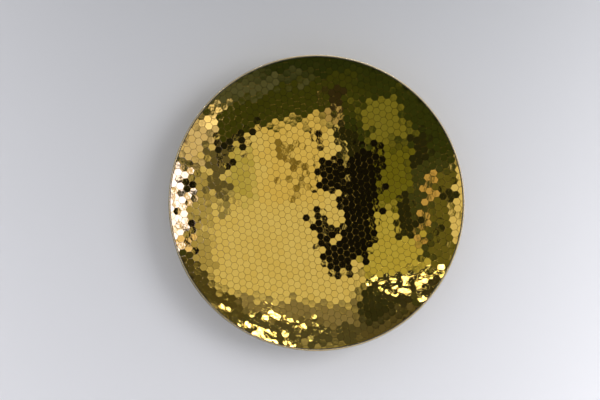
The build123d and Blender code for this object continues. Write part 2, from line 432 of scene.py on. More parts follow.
@dataclass(frozen=True)
class PlatedSteel(Finish):
    """Zinc-plated or turned steel, with the cloudy tints of its plating."""

    base: Colour = (0.62, 0.62, 0.60)
    tint: Colour = (0.58, 0.55, 0.46)
    rings: float = 900.0

    def paint(self, graph: Graph) -> None:
        """Turn fine tool marks round the dish's axis and tint the plating in clouds."""
        cloud = graph.noise(60.0, 4.0)
        marks = graph.noise(self.rings, 2.0, graph.stretched(0.15, 1.0, 0.15))
        graph.surface(
            Base_Color=graph.mix((cloud * 1.6 - 0.4).clamped(), self.base, self.tint),
            Metallic=1.0,
            Roughness=(marks * 0.5 + cloud * 0.5).between(0.20, 0.42),
            Normal=graph.bump(marks, 0.00003),
        )


@dataclass(frozen=True)
class FoamSkin(Finish):
    """Closed-cell foam or moulded rubber: matt, with fine pores and pale dust."""

    base: Colour = (0.022, 0.022, 0.024)
    dust: Colour = (0.085, 0.082, 0.078)
    cell: float = 1400.0

    def paint(self, graph: Graph) -> None:
        """Open fine cells in the skin and lay dust in slow clouds."""
        cells = graph.node("TexVoronoi", {"Vector": graph.place(), "Scale": self.cell}, "Distance")
        cloud = (graph.noise(40.0, 5.0) * 2.0 - 0.8).clamped()
        graph.surface(
            Base_Color=graph.mix((cloud * 0.6 + cells * 0.2).clamped(), self.base, self.dust),
            Roughness=cells.between(0.62, 0.92),
            Normal=graph.bump(cells, 0.00012),
        )


FACET_TONE = "facet_tone"
SEAM_GRIME_AND_SHADE = "seam_grime_and_shade"
MIRROR = MirrorGold("gold_mirror_lacquer", Slot.GOLD_MIRROR)
BAND = BandGold("gold_band_lacquer", Slot.GOLD_BAND)
TRIM = BandGold("gold_trim_polish", Slot.GOLD_BAND, (0.88, 0.76, 0.48), (0.92, 0.87, 0.74), (0.11, 0.20))
FRAME = BrushedMetal("frame_brushed_aluminium", Slot.ALUMINIUM)
CLEAT = BrushedMetal(
    "cleat_drawn_aluminium", Slot.ALUMINIUM, (0.63, 0.64, 0.65), 0.22, 0.36, (2.0, 160.0, 160.0)
)
WELD = BrushedMetal("weld_aluminium", Slot.ALUMINIUM, (0.52, 0.53, 0.54), 0.34, 0.60, (200.0, 200.0, 200.0))
BARE_BACK = PressedBack("bowl_back_mill_finish", Slot.GOLD_MIRROR)
PAINT = PowderCoat("wall_plate_powder_coat", Slot.PAINT)
ZINC = PlatedSteel("fastener_zinc", Slot.ZINC)
STEEL = PlatedSteel("foot_turned_steel", Slot.STEEL, (0.56, 0.57, 0.58), (0.48, 0.48, 0.47))
BRASS = PlatedSteel("bush_turned_brass", Slot.BRASS, (0.72, 0.52, 0.22), (0.60, 0.40, 0.15))
FOAM = FoamSkin("bedding_foam", Slot.FOAM)
# near-black sealant, which also paints the shadow line under the trim's lip
SEALANT_PAINTED_SHADE = FoamSkin("edge_sealant_painted_shade", Slot.FOAM, (0.030, 0.027, 0.020), (0.09, 0.08, 0.06), 2400.0)
RUBBER = FoamSkin("foot_moulded_rubber", Slot.RUBBER, (0.018, 0.018, 0.019), (0.06, 0.058, 0.055), 3000.0)


# ---- the modelling bench -----------------------------------------------------------------------------


class Pick(Enum):
    """What a selection in edit mode is made of."""

    POINTS = "VERT"
    EDGES = "EDGE"
    FACES = "FACE"


def activate(piece: bpy.types.Object, *others: bpy.types.Object) -> None:
    """Select these objects alone and make the first one active."""
    bpy.ops.object.select_all(action="DESELECT")
    for chosen in (piece, *others):
        chosen.select_set(True)
    bpy.context.view_layer.objects.active = piece


@contextmanager
def editing(piece: bpy.types.Object, kind: Pick = Pick.POINTS) -> Iterator[None]:
    """Edit mode on one object, with nothing selected at first."""
    activate(piece)
    bpy.ops.object.mode_set(mode="EDIT")
    bpy.ops.mesh.select_mode(type=kind.value)
    bpy.ops.mesh.select_all(action="DESELECT")
    yield
    bpy.ops.object.mode_set(mode="OBJECT")


def pick(piece: bpy.types.Object, kind: Pick, wanted: Callable[[Vector, Vector], bool]) -> int:
    """Select, in edit mode, the elements that pass a test, and only those.

    Args:
        piece: the object in edit mode.
        kind: points, edges or faces.
        wanted: a test on an element's middle and its normal; an edge's normal is its direction.

    Returns:
        How many were selected.
    """
    bpy.ops.mesh.select_mode(type=kind.value)
    bpy.ops.mesh.select_all(action="DESELECT")
    mesh = bmesh.from_edit_mesh(piece.data)
    count = 0
    if kind is Pick.POINTS:
        found = [(v, v.co, v.normal) for v in mesh.verts]
    elif kind is Pick.EDGES:
        found = [(e, (e.verts[0].co + e.verts[1].co) / 2, e.verts[1].co - e.verts[0].co) for e in mesh.edges]
    else:
        found = [(f, f.calc_center_median(), f.normal) for f in mesh.faces]
    for element, middle, normal in found:
        if wanted(middle, normal):
            element.select_set(True)
            count += 1
    mesh.select_flush_mode()
    bmesh.update_edit_mesh(piece.data)
    return count


def pick_points(piece: bpy.types.Object, wanted: np.ndarray) -> None:
    """Enter edit mode on a piece with only these of its points selected."""
    activate(piece)
    bpy.ops.object.mode_set(mode="EDIT")
    bpy.ops.mesh.select_mode(type=Pick.POINTS.value)
    bpy.ops.mesh.select_all(action="DESELECT")
    bpy.ops.object.mode_set(mode="OBJECT")
    piece.data.vertices.foreach_set("select", wanted)
    bpy.ops.object.mode_set(mode="EDIT")


def new_piece(name: str) -> bpy.types.Object:
    """Name the primitive that was just added, with its place carried into its mesh."""
    piece = bpy.context.view_layer.objects.active
    piece.name = name
    piece.data.name = name
    settle(piece)
    return piece


def settle(piece: bpy.types.Object) -> None:
    """Carry an object's place, turn and scale into its mesh."""
    activate(piece)
    bpy.ops.object.transform_apply(location=True, rotation=True, scale=True)


def modify(piece: bpy.types.Object, kind: str, **settings: object) -> None:
    """Add a modifier of this type to a piece and apply it."""
    activate(piece)
    bpy.ops.object.modifier_add(type=kind)
    modifier = piece.modifiers[-1]
    for name, value in settings.items():
        setattr(modifier, name, value)
    bpy.ops.object.modifier_apply(modifier=modifier.name)


def tidy_mesh(piece: bpy.types.Object, gap: float = 2e-6) -> None:
    """Merge doubled points, drop empty faces and turn every face outwards."""
    with editing(piece):
        bpy.ops.mesh.select_all(action="SELECT")
        bpy.ops.mesh.remove_doubles(threshold=gap)
        bpy.ops.mesh.dissolve_degenerate(threshold=gap)
        bpy.ops.mesh.select_all(action="SELECT")
        bpy.ops.mesh.normals_make_consistent(inside=False)


def smooth(piece: bpy.types.Object, angle: float = 30.0) -> None:
    """Shade a piece smoothly, apart from edges sharper than an angle in degrees."""
    activate(piece)
    bpy.ops.object.shade_smooth_by_angle(angle=math.radians(angle))


def ease_edges(piece: bpy.types.Object, width: float, segments: int = 2, angle: float = 30.0) -> None:
    """Round every edge sharper than an angle in degrees, and shade what is left smoothly."""
    settings = {"limit_method": "ANGLE", "angle_limit": math.radians(angle), "use_clamp_overlap": True}
    modify(piece, "BEVEL", width=width, segments=segments, **settings)
    smooth(piece, angle)


def copied(piece: bpy.types.Object, name: str) -> bpy.types.Object:
    """A copy of a piece, with a mesh of its own."""
    activate(piece)
    bpy.ops.object.duplicate(linked=False)
    twin = bpy.context.view_layer.objects.active
    twin.name = name
    twin.data.name = name
    return twin


def spun(piece: bpy.types.Object, angle: float) -> bpy.types.Object:
    """Turn a piece round the dish's axis by an angle in degrees, anticlockwise as seen from the front."""
    turn = Matrix.Rotation(-math.radians(angle), 4, "Y")
    piece.data.transform(turn)
    return piece


def joined(name: str, pieces: Sequence[bpy.types.Object]) -> bpy.types.Object:
    """Join several pieces into one."""
    activate(*pieces)
    bpy.ops.object.join()
    whole = bpy.context.view_layer.objects.active
    whole.name = name
    whole.data.name = name
    return whole


def eased_copy(node: str, width: float, segments: int = 2) -> bpy.types.Object:
    """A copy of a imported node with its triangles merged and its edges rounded.

    Args:
        node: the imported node's name.
        width: how far each rounding reaches from its edge, in metres.
        segments: the steps of each rounding.

    Returns:
        The new piece.
    """
    mesh = bpy.data.objects[node].data.copy()
    mesh.materials.clear()
    piece = bpy.data.objects.new(f"{node}_eased", mesh)
    bpy.context.scene.collection.objects.link(piece)
    with editing(piece, Pick.FACES):
        bpy.ops.mesh.select_all(action="SELECT")
        bpy.ops.mesh.remove_doubles(threshold=2e-6)
        bpy.ops.mesh.dissolve_limited(angle_limit=math.radians(0.4))
        bpy.ops.mesh.normals_make_consistent(inside=False)
    ease_edges(piece, width, segments)
    return piece


def turned(
    name: str,
    section: Sequence[Point2],
    steps: int,
    centre: Point2 = (0.0, 0.0),
    sweep: float = 360.0,
    start: float = 0.0,
) -> bpy.types.Object:
    """A piece that is turned round an axis parallel to the dish's.

    The section is drawn as a flat polygon with its corners put on these points, and then spun. A section
    whose first and last points lie on the axis stays open there, so no face is left inside.

    Args:
        name: the piece's name.
        section: points in radius from the axis and height from the wall.
        steps: how many steps the full turn has.
        centre: the axis's place, in X and Z.
        sweep: how far round it goes, in degrees.
        start: where it starts, in degrees anticlockwise from +X as seen from the front.

    Returns:
        The finished piece.
    """
    bpy.ops.mesh.primitive_circle_add(vertices=len(section), radius=1.0, fill_type="NGON")
    piece = new_piece(name)
    for vertex, (radius, height) in zip(piece.data.vertices, section):
        vertex.co = (centre[0] + radius, -height, centre[1])
    whole = sweep >= 360.0
    with editing(piece, Pick.FACES):
        bpy.ops.mesh.select_all(action="SELECT")
        if whole:
            bpy.ops.mesh.delete(type="ONLY_FACE")
            touching = pick(piece, Pick.EDGES, lambda middle, _: abs(middle.x - centre[0]) < ON_AXIS)
            if touching:
                bpy.ops.mesh.delete(type="EDGE")
            bpy.ops.mesh.select_all(action="SELECT")
        bpy.ops.mesh.spin(
            steps=steps,
            angle=-math.radians(sweep),
            center=(centre[0], 0.0, centre[1]),
            axis=(0.0, 1.0, 0.0),
        )
    tidy_mesh(piece)
    if start:
        at = Matrix.Translation((centre[0], 0.0, centre[1]))
        piece.data.transform(at @ Matrix.Rotation(-math.radians(start), 4, "Y") @ at.inverted())
    return piece


def arc(centre: Point2, radius: float, start: float, end: float, steps: int = 5) -> list[Point2]:
    """Points along an arc of a section, between two angles in degrees."""
    points = []
    for step in range(steps + 1):
        angle = math.radians(start + (end - start) * step / steps)
        points.append((centre[0] + radius * math.cos(angle), centre[1] + radius * math.sin(angle)))
    return points


def six_sided(
    piece: bpy.types.Object, centre: Point2, radius: float, across_flats: float, grip: float
) -> None:
    """Draw the points that lie on one circle of a turned piece out or in to a hexagon.

    Args:
        piece: the turned piece.
        centre: its axis's place, in X and Z.
        radius: the circle's radius.
        across_flats: the hexagon's width.
        grip: how near to the circle a point has to lie.
    """
    for vertex in piece.data.vertices:
        x = vertex.co.x - centre[0]
        z = vertex.co.z - centre[1]
        reach = math.hypot(x, z)
        if abs(reach - radius) > grip:
            continue
        share = math.degrees(math.atan2(z, x)) % 60.0 - 30.0
        wanted = across_flats / 2 / math.cos(math.radians(share))
        vertex.co.x = centre[0] + x * wanted / reach
        vertex.co.z = centre[1] + z * wanted / reach


def heights(node: str) -> tuple[float, float]:
    """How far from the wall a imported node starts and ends."""
    low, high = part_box(node)
    return -high.y, -low.y


def reach(node: str) -> float:
    """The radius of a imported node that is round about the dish's axis."""
    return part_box(node)[1].x


def middle(node: str) -> Point2:
    """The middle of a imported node's box, in X and Z."""
    low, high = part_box(node)
    return (low.x + high.x) / 2, (low.z + high.z) / 2


def finish_piece(piece: bpy.types.Object, body: Body, finish: Finish, *stands_for: str) -> bpy.types.Object:
    """Dress a piece, and put it on its body.

    Args:
        piece: the finished mesh object.
        body: the body that it moves with.
        finish: its finish, where the piece has none yet.
        stands_for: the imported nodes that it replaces.

    Returns:
        The same piece.
    """
    if not piece.data.materials:
        piece.data.materials.append(finish.material())
    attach(piece, body.value)
    if stands_for:
        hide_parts(*stands_for)
    LOG.info("%s: %d faces, on %s", piece.name, len(piece.data.polygons), body.value)
    return piece


# ---- the bowl ----------------------------------------------------------------------------------------


@dataclass(frozen=True)
class CellLoop:
    """One loop of points in a honeycomb cell, from its seam inwards."""

    reach: float
    roundness: float
    drop: float
    follows_tilt: float
    # dust: the loop's share of the dark seam colour, which is partly dust and partly painted shade
    dust: float = 0.0


@dataclass
class Bowl:
    """The pressed mirror: one sheet in a honeycomb of small facets, each with a slope of its own.

    A facet lies in the plane that touches a paraboloid at the facet's centre. Such planes meet above the
    honeycomb's edges, so the facets share their seams. Pressing leaves each facet tilted by a fraction of
    a degree, and rounds its edges down into a shallow seam.
    """

    rim_radius: float
    vertex: float
    trim_radius: float
    depth: float = 112.0 * MM
    pitch: float = 26.0 * MM
    turn: float = 7.7
    sheet: float = 2.5 * MM
    tilt: float = 0.42
    seed: int = 20
    # each loop's last number is its share of the dark seam colour: dust and painted shade
    front_loops: tuple[CellLoop, ...] = (
        CellLoop(1.0, 0.0, 0.050 * MM, 0.0, 1.0),
        CellLoop(0.972, 0.025, 0.007 * MM, 0.85, 0.9),
        CellLoop(0.942, 0.045, 0.0, 1.0),
    )
    back_loops: tuple[CellLoop, ...] = (
        CellLoop(1.0, 0.0, -0.20 * MM, 0.0, 1.0),
        CellLoop(0.925, 0.0, 0.0, 1.0),
    )
    corner_run: float = 1.9 * MM
    corner_drop: float = 0.030 * MM
    corner_grip: float = 0.004
    joining: float = 0.02 * MM

    def height(self, radius: np.ndarray | float) -> np.ndarray | float:
        """Height of the ideal paraboloid at a radius."""
        return self.vertex + self.depth * (radius / self.rim_radius) ** 2

    def _cell(
        self, name: str, loops: Sequence[CellLoop], centre: Point2, fine: bool
    ) -> tuple[bpy.types.Object, np.ndarray, np.ndarray]:
        """Model one flat cell of the honeycomb, lying in X and Y.

        Args:
            name: the cell's name.
            loops: its loops of points, seam first.
            centre: its place.
            fine: whether each edge also has a point near either end.

        Returns:
            The cell, the loop that each of its points is on, and whether each is at a corner.
        """
        turn = math.radians(self.turn - 30.0)
        reach = self.pitch / math.sqrt(3.0)
        place = (*centre, 0.0)
        bpy.ops.mesh.primitive_circle_add(
            vertices=6, radius=reach, fill_type="NGON", location=place, rotation=(0.0, 0.0, turn)
        )
        cell = new_piece(name)
        middle = Vector(place)
        with editing(cell, Pick.FACES):
            bpy.ops.mesh.select_all(action="SELECT")
            if fine:
                bpy.ops.mesh.bevel(affect="VERTICES", offset=self.corner_run, segments=2, profile=1.0)
                bpy.ops.mesh.select_all(action="SELECT")
            for outer, inner in zip(loops, loops[1:]):
                step = (outer.reach - inner.reach) * self.pitch / 2
                bpy.ops.mesh.inset(thickness=step, use_even_offset=True)
        numbers, corners = self._sort_points(cell, centre, loops)
        for number, loop in enumerate(loops[1:], start=1):
            pick_points(cell, corners & (numbers == number))
            size = 1.0 - loop.roundness
            bpy.ops.transform.resize(value=(size, size, 1.0), center_override=middle)
            bpy.ops.object.mode_set(mode="OBJECT")
        return cell, numbers, corners

    def _sort_points(
        self, cell: bpy.types.Object, centre: Point2, loops: Sequence[CellLoop]
    ) -> tuple[np.ndarray, np.ndarray]:
        """Sort a flat cell's points by their distance from its straight edges.

        Args:
            cell: the cell, its corners still sharp.
            centre: its place.
            loops: its loops of points, seam first.

        Returns:
            For each point the loop it is on, and whether it is at a corner.
        """
        flat = np.empty(len(cell.data.vertices) * 3)
        cell.data.vertices.foreach_get("co", flat)
        offset = flat.reshape(-1, 3)[:, :2] - np.array(centre)
        facing = np.radians(self.turn + 30.0 + 60.0 * np.arange(6))
        out = (offset @ np.array([np.cos(facing), np.sin(facing)])).max(axis=1) / (self.pitch / 2)
        reaches = np.array([loop.reach for loop in loops])
        numbers = abs(out[:, None] - reaches[None, :]).argmin(axis=1)
        corner = np.hypot(offset[:, 0], offset[:, 1]) / (self.pitch / math.sqrt(3.0))
        return numbers, abs(corner - reaches[numbers]) < self.corner_grip

    def _sheet_side(
        self, name: str, loops: Sequence[CellLoop], fine: bool, behind: float
    ) -> bpy.types.Object:
        """Model one side of the bowl: an array of cells, lifted onto their planes and cut to a circle.

        Args:
            name: the side's name.
            loops: the cell's loops.
            fine: whether each edge of a cell also has a point near either end.
            behind: how far behind the mirror's planes this side lies.

        Returns:
            The side, in the row frame.
        """
        across = round(1.2 * self.trim_radius / self.pitch)
        count = 2 * across + 1
        steps = []
        for angle in (self.turn + 30.0, self.turn + 90.0):
            steps.append(Vector((math.cos(math.radians(angle)), math.sin(math.radians(angle)))) * self.pitch)
        first = -across * (steps[0] + steps[1])
        side, loop_of, at_corner = self._cell(name, loops, tuple(first), fine)
        points_in_cell = len(side.data.vertices)
        for step in steps:
            settings = {"use_relative_offset": False, "use_constant_offset": True, "count": count}
            modify(side, "ARRAY", constant_offset_displace=(*step, 0.0), **settings)
        faces_in_cell = len(side.data.polygons) // count**2
        centres = np.array([first + i * steps[0] + j * steps[1] for j in range(count) for i in range(count)])
        flat = np.empty(len(side.data.vertices) * 3)
        side.data.vertices.foreach_get("co", flat)
        flat = flat.reshape(-1, points_in_cell, 3)[:, :, :2]
        drops = np.array([loop.drop for loop in loops])[loop_of]
        # each point's share of the dark seam colour, partly dust and partly painted shade; the seam's corners
        # keep little of it
        dust = np.array([loop.dust for loop in loops])[loop_of] * np.where(at_corner & fine, 0.1, 1.0)
        drops = drops + np.where(at_corner & fine & (loop_of == 0), self.corner_drop, 0.0)
        follows = np.array([loop.follows_tilt for loop in loops])[loop_of]
        kept = self._lift(side, flat, centres, drops + behind, follows)
        tones = np.random.default_rng(self.seed + 1).random(count**2)
        self._mark(side, FACET_TONE, "FACE", tones.repeat(faces_in_cell))
        self._mark(side, SEAM_GRIME_AND_SHADE, "POINT", np.tile(dust, count**2))
        pick_points(side, np.repeat(~kept, points_in_cell))
        bpy.ops.mesh.delete(type="VERT")
        bpy.ops.mesh.select_all(action="SELECT")
        bpy.ops.mesh.remove_doubles(threshold=self.joining)
        bpy.ops.mesh.dissolve_degenerate(threshold=self.joining)
        bpy.ops.object.mode_set(mode="OBJECT")
        return side

    @staticmethod
    def _mark(side: bpy.types.Object, name: str, domain: str, values: np.ndarray) -> None:
        """Write one number for each face or point into an attribute that the finishes read."""
        attribute = side.data.attributes.new(name, "FLOAT", domain)
        attribute.data.foreach_set("value", values.astype(np.float32))

    def _lift(
        self,
        side: bpy.types.Object,
        flat: np.ndarray,
        centres: np.ndarray,
        drops: np.ndarray,
        follows: np.ndarray,
    ) -> np.ndarray:
        """Lift every cell of a flat array onto its own plane, and draw what lies outside onto the circle.

        Args:
            side: the flat array of cells.
            flat: its points, cell by cell.
            centres: each cell's place.
            drops: how far behind its plane each point of a cell lies.
            follows: how much of the cell's own tilt each point takes.

        Returns:
            For each cell, whether any of it is inside the circle.
        """
        curve = self.depth / self.rim_radius**2
        offset = flat - centres[:, None, :]
        spread = math.tan(math.radians(self.tilt))
        tilts = np.random.default_rng(self.seed).normal(0.0, spread, centres.shape)
        slope = 2 * curve * centres[:, None, :] + tilts[:, None, :] * follows[None, :, None]
        planes = self.vertex + curve * (centres**2).sum(1)[:, None] + (slope * offset).sum(2)
        radii = np.hypot(flat[:, :, 0], flat[:, :, 1])
        outside = radii > self.trim_radius
        corner_drop = curve * self.pitch**2 / 3
        planes = np.where(outside, self.height(self.trim_radius) - corner_drop, planes)
        onto = flat * np.where(outside, self.trim_radius / np.maximum(radii, MM), 1.0)[:, :, None]
        lifted = np.stack([onto[:, :, 0], drops[None, :] - planes, onto[:, :, 1]], axis=2)
        side.data.vertices.foreach_set("co", lifted.ravel())
        side.data.update()
        return ~outside.all(axis=1)

    def build(self) -> bpy.types.Object:
        """Model both sides of the sheet and bridge them round the edge."""
        front = self._sheet_side("honeycomb_mirror", self.front_loops, True, 0.0)
        front.data.materials.append(MIRROR.material())
        back = self._sheet_side("honeycomb_back", self.back_loops, False, self.sheet)
        back.data.materials.append(BARE_BACK.material())
        with editing(back, Pick.FACES):
            bpy.ops.mesh.select_all(action="SELECT")
            bpy.ops.mesh.flip_normals()
        mirror = joined("honeycomb_mirror", [front, back])
        with editing(mirror, Pick.EDGES):
            bpy.ops.mesh.select_non_manifold(extend=False)
            bpy.ops.mesh.bridge_edge_loops()
            bpy.ops.mesh.select_all(action="SELECT")
            bpy.ops.mesh.normals_make_consistent(inside=False)
        smooth(mirror, 60.0)
        self._flatten_facets(mirror)
        return finish_piece(mirror, Body.DISH, MIRROR, "facet_skin")

    @staticmethod
    def _flatten_facets(mirror: bpy.types.Object) -> None:
        """Shade the facets flat; only their pressed seams stay smooth."""
        rounded = [len(face.vertices) < 5 for face in mirror.data.polygons]
        mirror.data.polygons.foreach_set("use_smooth", rounded)
        mirror.data.update()


# ---- the edge ----------------------------------------------------------------------------------------


@dataclass
class EdgeTrim:
    """The polished ring round the bowl's edge, and the near-black bead that seals it to the mirror; the
    bead's dark colour also paints the shadow line under the lip.
    """

    wall: float = 2.0 * MM
    lip_width: float = 5.5 * MM
    lip_thickness: float = 1.8 * MM
    corner: float = 1.3 * MM
    steps: int = 256

    def build(self, bowl: Bowl) -> None:
        """Turn the trim and its seal.

        Args:
            bowl: the mirror, whose surface the seal follows.
        """
        outer = reach("rim_ring") - 0.2 * MM
        back, front = heights("rim_ring")
        bull = self.lip_thickness / 2
        lip_edge = outer - self.lip_width
        section = [
            (outer - self.wall, back + self.wall / 4),
            (outer - self.wall * 3 / 4, back),
            (outer - self.wall / 4, back),
            (outer, back + self.wall / 4),
            *arc((outer - self.corner, front - self.corner), self.corner, 0.0, 90.0),
            *arc((lip_edge + bull, front - bull), bull, 90.0, 270.0, 6),
            (outer - self.wall, front - self.lip_thickness),
        ]
        trim = turned("rim_trim", section, self.steps)
        smooth(trim, 50.0)
        finish_piece(trim, Body.DISH, TRIM, "rim_ring")
        self._seal(bowl, lip_edge, front - self.lip_thickness)

    def _seal(self, bowl: Bowl, lip_edge: float, lip_back: float) -> None:
        """Lay the sealing bead into the corner between the trim's lip and the mirror; its near-black colour
        paints the shadow in that corner.
        """
        foot = lip_edge - 2.4 * MM
        sunk = 0.5 * MM
        crown = arc((foot, lip_back + 0.9 * MM), 2.2 * MM, -8.0, -78.0, 4)
        section = [
            (lip_edge + sunk, lip_back + sunk),
            *crown,
            (foot - 0.2 * MM, bowl.height(foot) - sunk),
            (lip_edge + sunk, bowl.height(foot) - sunk),
        ]
        seal = turned("edge_seal", section, self.steps)
        smooth(seal, 40.0)
        finish_piece(seal, Body.DISH, SEALANT_PAINTED_SHADE)


@dataclass
class SideBand:
    """The tapering sheet round the dish: one strip, rolled, with its two ends butted at the bottom."""

    sheet: float = 1.5 * MM
    collar_length: float = 18.0 * MM
    foot_length: float = 6.0 * MM
    bead: float = 0.9 * MM
    bead_width: float = 7.0 * MM
    bead_places: tuple[float, ...] = (0.12, 0.88)
    butt_gap: float = 0.9 * MM
    rivet_radius: float = 2.6 * MM
    rivet_height: float = 1.1 * MM
    foot_rivets: int = 32
    seam_rivets: int = 6
    steps: int = 240

    def build(self) -> None:
        """Roll the sheet, lay its seam strip and set its rivets."""
        self.foot_back, self.top = heights("side_band")
        self.outer = reach("side_band")
        self.foot = reach("back_ring") + self.sheet
        self.foot_front = self.foot_back + self.foot_length
        self.collar_back = self.top - self.collar_length
        gap = math.degrees(self.butt_gap / self.outer)
        section = self._face(0.0) + self._face(self.sheet)[::-1]
        band = turned("band_sheet", section, self.steps, sweep=360.0 - gap, start=-90.0 + gap / 2)
        smooth(band, 35.0)
        finish_piece(band, Body.DISH, BAND, "side_band")
        strip = eased_copy("seam_strip", 0.3 * MM)
        finish_piece(strip, Body.DISH, FRAME, "seam_strip")
        finish_piece(self._rivets(), Body.DISH, ZINC)

    def _face(self, inset: float) -> list[Point2]:
        """One face of the sheet, from its collar to its foot, a distance in from the outer face."""
        points = [(self.outer - inset, self.top), (self.outer - inset, self.collar_back)]
        across = Vector((self.foot - self.outer, self.foot_front - self.collar_back))
        outward = Vector((-across.y, across.x)).normalized()
        for place in self.bead_places:
            centre = Vector((self.outer - inset, self.collar_back)) + across * place
            for share in (-0.5, -0.3, 0.0, 0.3, 0.5):
                swell = self.bead * math.cos(math.pi * share) ** 2
                point = centre + across.normalized() * self.bead_width * share + outward * swell
                points.append(tuple(point))
        return points + [(self.foot - inset, self.foot_front), (self.foot - inset, self.foot_back)]

    def _rivet(self, name: str) -> bpy.types.Object:
        """One low domed rivet head at the origin, standing up along Z."""
        bpy.ops.mesh.primitive_uv_sphere_add(segments=12, ring_count=8, radius=self.rivet_radius)
        head = new_piece(name)
        with editing(head):
            bpy.ops.mesh.select_all(action="SELECT")
            bpy.ops.mesh.bisect(plane_co=(0, 0, 0), plane_no=(0, 0, 1), clear_inner=True, use_fill=True)
            bpy.ops.mesh.select_all(action="SELECT")
            bpy.ops.transform.resize(value=(1.0, 1.0, self.rivet_height / self.rivet_radius))
        smooth(head, 50.0)
        return head

    def _rivets(self) -> bpy.types.Object:
        """Rivets round the foot, through the frame's ring, and along both sides of the seam."""
        head = self._rivet("band_rivet")
        radial = Matrix.Rotation(math.radians(90.0), 4, "Y")
        places = []
        ring_back, ring_front = heights("back_ring")
        for number in range(self.foot_rivets):
            angle = 360.0 / self.foot_rivets * (number + 0.5)
            places.append((self.foot, (ring_back + ring_front) / 2, angle, 0.0))
        lean = math.degrees(math.atan2(self.outer - self.foot, self.collar_back - self.foot_front))
        for side in (-1, 1):
            for number in range(self.seam_rivets):
                share = 0.17 + 0.66 * number / (self.seam_rivets - 1)
                radius = self.outer + (self.foot - self.outer) * share
                height = self.collar_back + (self.foot_front - self.collar_back) * share
                places.append((radius, height, -90.0 + side * 1.1, lean))
        heads = []
        for radius, height, angle, slope in places:
            one = copied(head, "band_rivet")
            one.data.transform(Matrix.Rotation(math.radians(slope), 4, "Z") @ radial)
            one.data.transform(Matrix.Translation((radius, -height, 0.0)))
            heads.append(spun(one, angle))
        bpy.data.objects.remove(head)
        return joined("band_rivets", heads)


# ---- the frame ---------------------------------------------------------------------------------------


@dataclass
class Spider:
    """The welded frame behind the bowl: a hub plate, a ring and the upright ribs between them."""

    ribs: int = 8
    rib_thickness: float = 5.0 * MM
    edge: float = 0.5 * MM
    hub_tab: Point2 = (115.0 * MM, 165.0 * MM)
    ring_tab: Point2 = (462.0 * MM, 484.0 * MM)
    bead_width: float = 3.2 * MM
    ripple: float = 2.2 * MM
    ripple_share: float = 0.10
    end_share: float = 0.9

    def build(self) -> None:
        """Ease the plates' and ribs' edges, and weld the ribs to the plates."""
        for node in ("hub_plate", "back_ring"):
            plate = eased_copy(node, self.edge)
            finish_piece(plate, Body.DISH, FRAME, node)
        first = eased_copy("rib_1", self.edge)
        for number in range(1, self.ribs + 1):
            rib = spun(copied(first, f"rib_{number}_eased"), self.angle(number))
            finish_piece(rib, Body.DISH, FRAME, f"rib_{number}")
        bpy.data.objects.remove(first)
        finish_piece(self._welds(), Body.DISH, WELD)

    def angle(self, number: int) -> float:
        """A rib's direction in degrees, anticlockwise from +X as seen from the front."""
        return 360.0 / self.ribs * (number - 1)

    def _bead(self, span: Point2, height: float, side: int) -> bpy.types.Object:
        """One rippled fillet along the first rib's foot.

        Args:
            span: where it starts and ends, in radius.
            height: the plate's face that it lies on.
            side: 1 for the rib's upper side, -1 for its lower side.

        Returns:
            The bead.
        """
        length = span[1] - span[0]
        count = 2 * round(length / self.ripple)
        bpy.ops.mesh.primitive_cylinder_add(vertices=8, radius=self.bead_width / 2, depth=length)
        bead = new_piece("weld_bead")
        with editing(bead, Pick.EDGES):
            pick(bead, Pick.EDGES, lambda _, along: abs(along.z) > length / 2)
            bpy.ops.mesh.subdivide(number_cuts=count)
        for vertex in bead.data.vertices:
            share = vertex.co.z / length
            ripple = 1.0 + self.ripple_share * math.cos(2 * math.pi * share * count / 2)
            ends = 1.0 - 0.5 * max(0.0, abs(share) * 2 - self.end_share) * 10
            vertex.co.x *= ripple * ends
            vertex.co.y *= ripple * ends
        stand = Matrix.Rotation(math.radians(90.0), 4, "Y")
        centre = ((span[0] + span[1]) / 2, -height, side * self.rib_thickness / 2)
        bead.data.transform(Matrix.Translation(centre) @ stand)
        smooth(bead, 60.0)
        return bead

    def _welds(self) -> bpy.types.Object:
        """A bead on each side of every rib, in front of both plates."""
        front = heights("back_ring")[1]
        first = [self._bead(span, front, side) for span in (self.hub_tab, self.ring_tab) for side in (-1, 1)]
        beads = []
        for number in range(1, self.ribs + 1):
            beads += [spun(copied(bead, "weld_bead"), self.angle(number)) for bead in first]
        for bead in first:
            bpy.data.objects.remove(bead)
        return joined("rib_welds", beads)


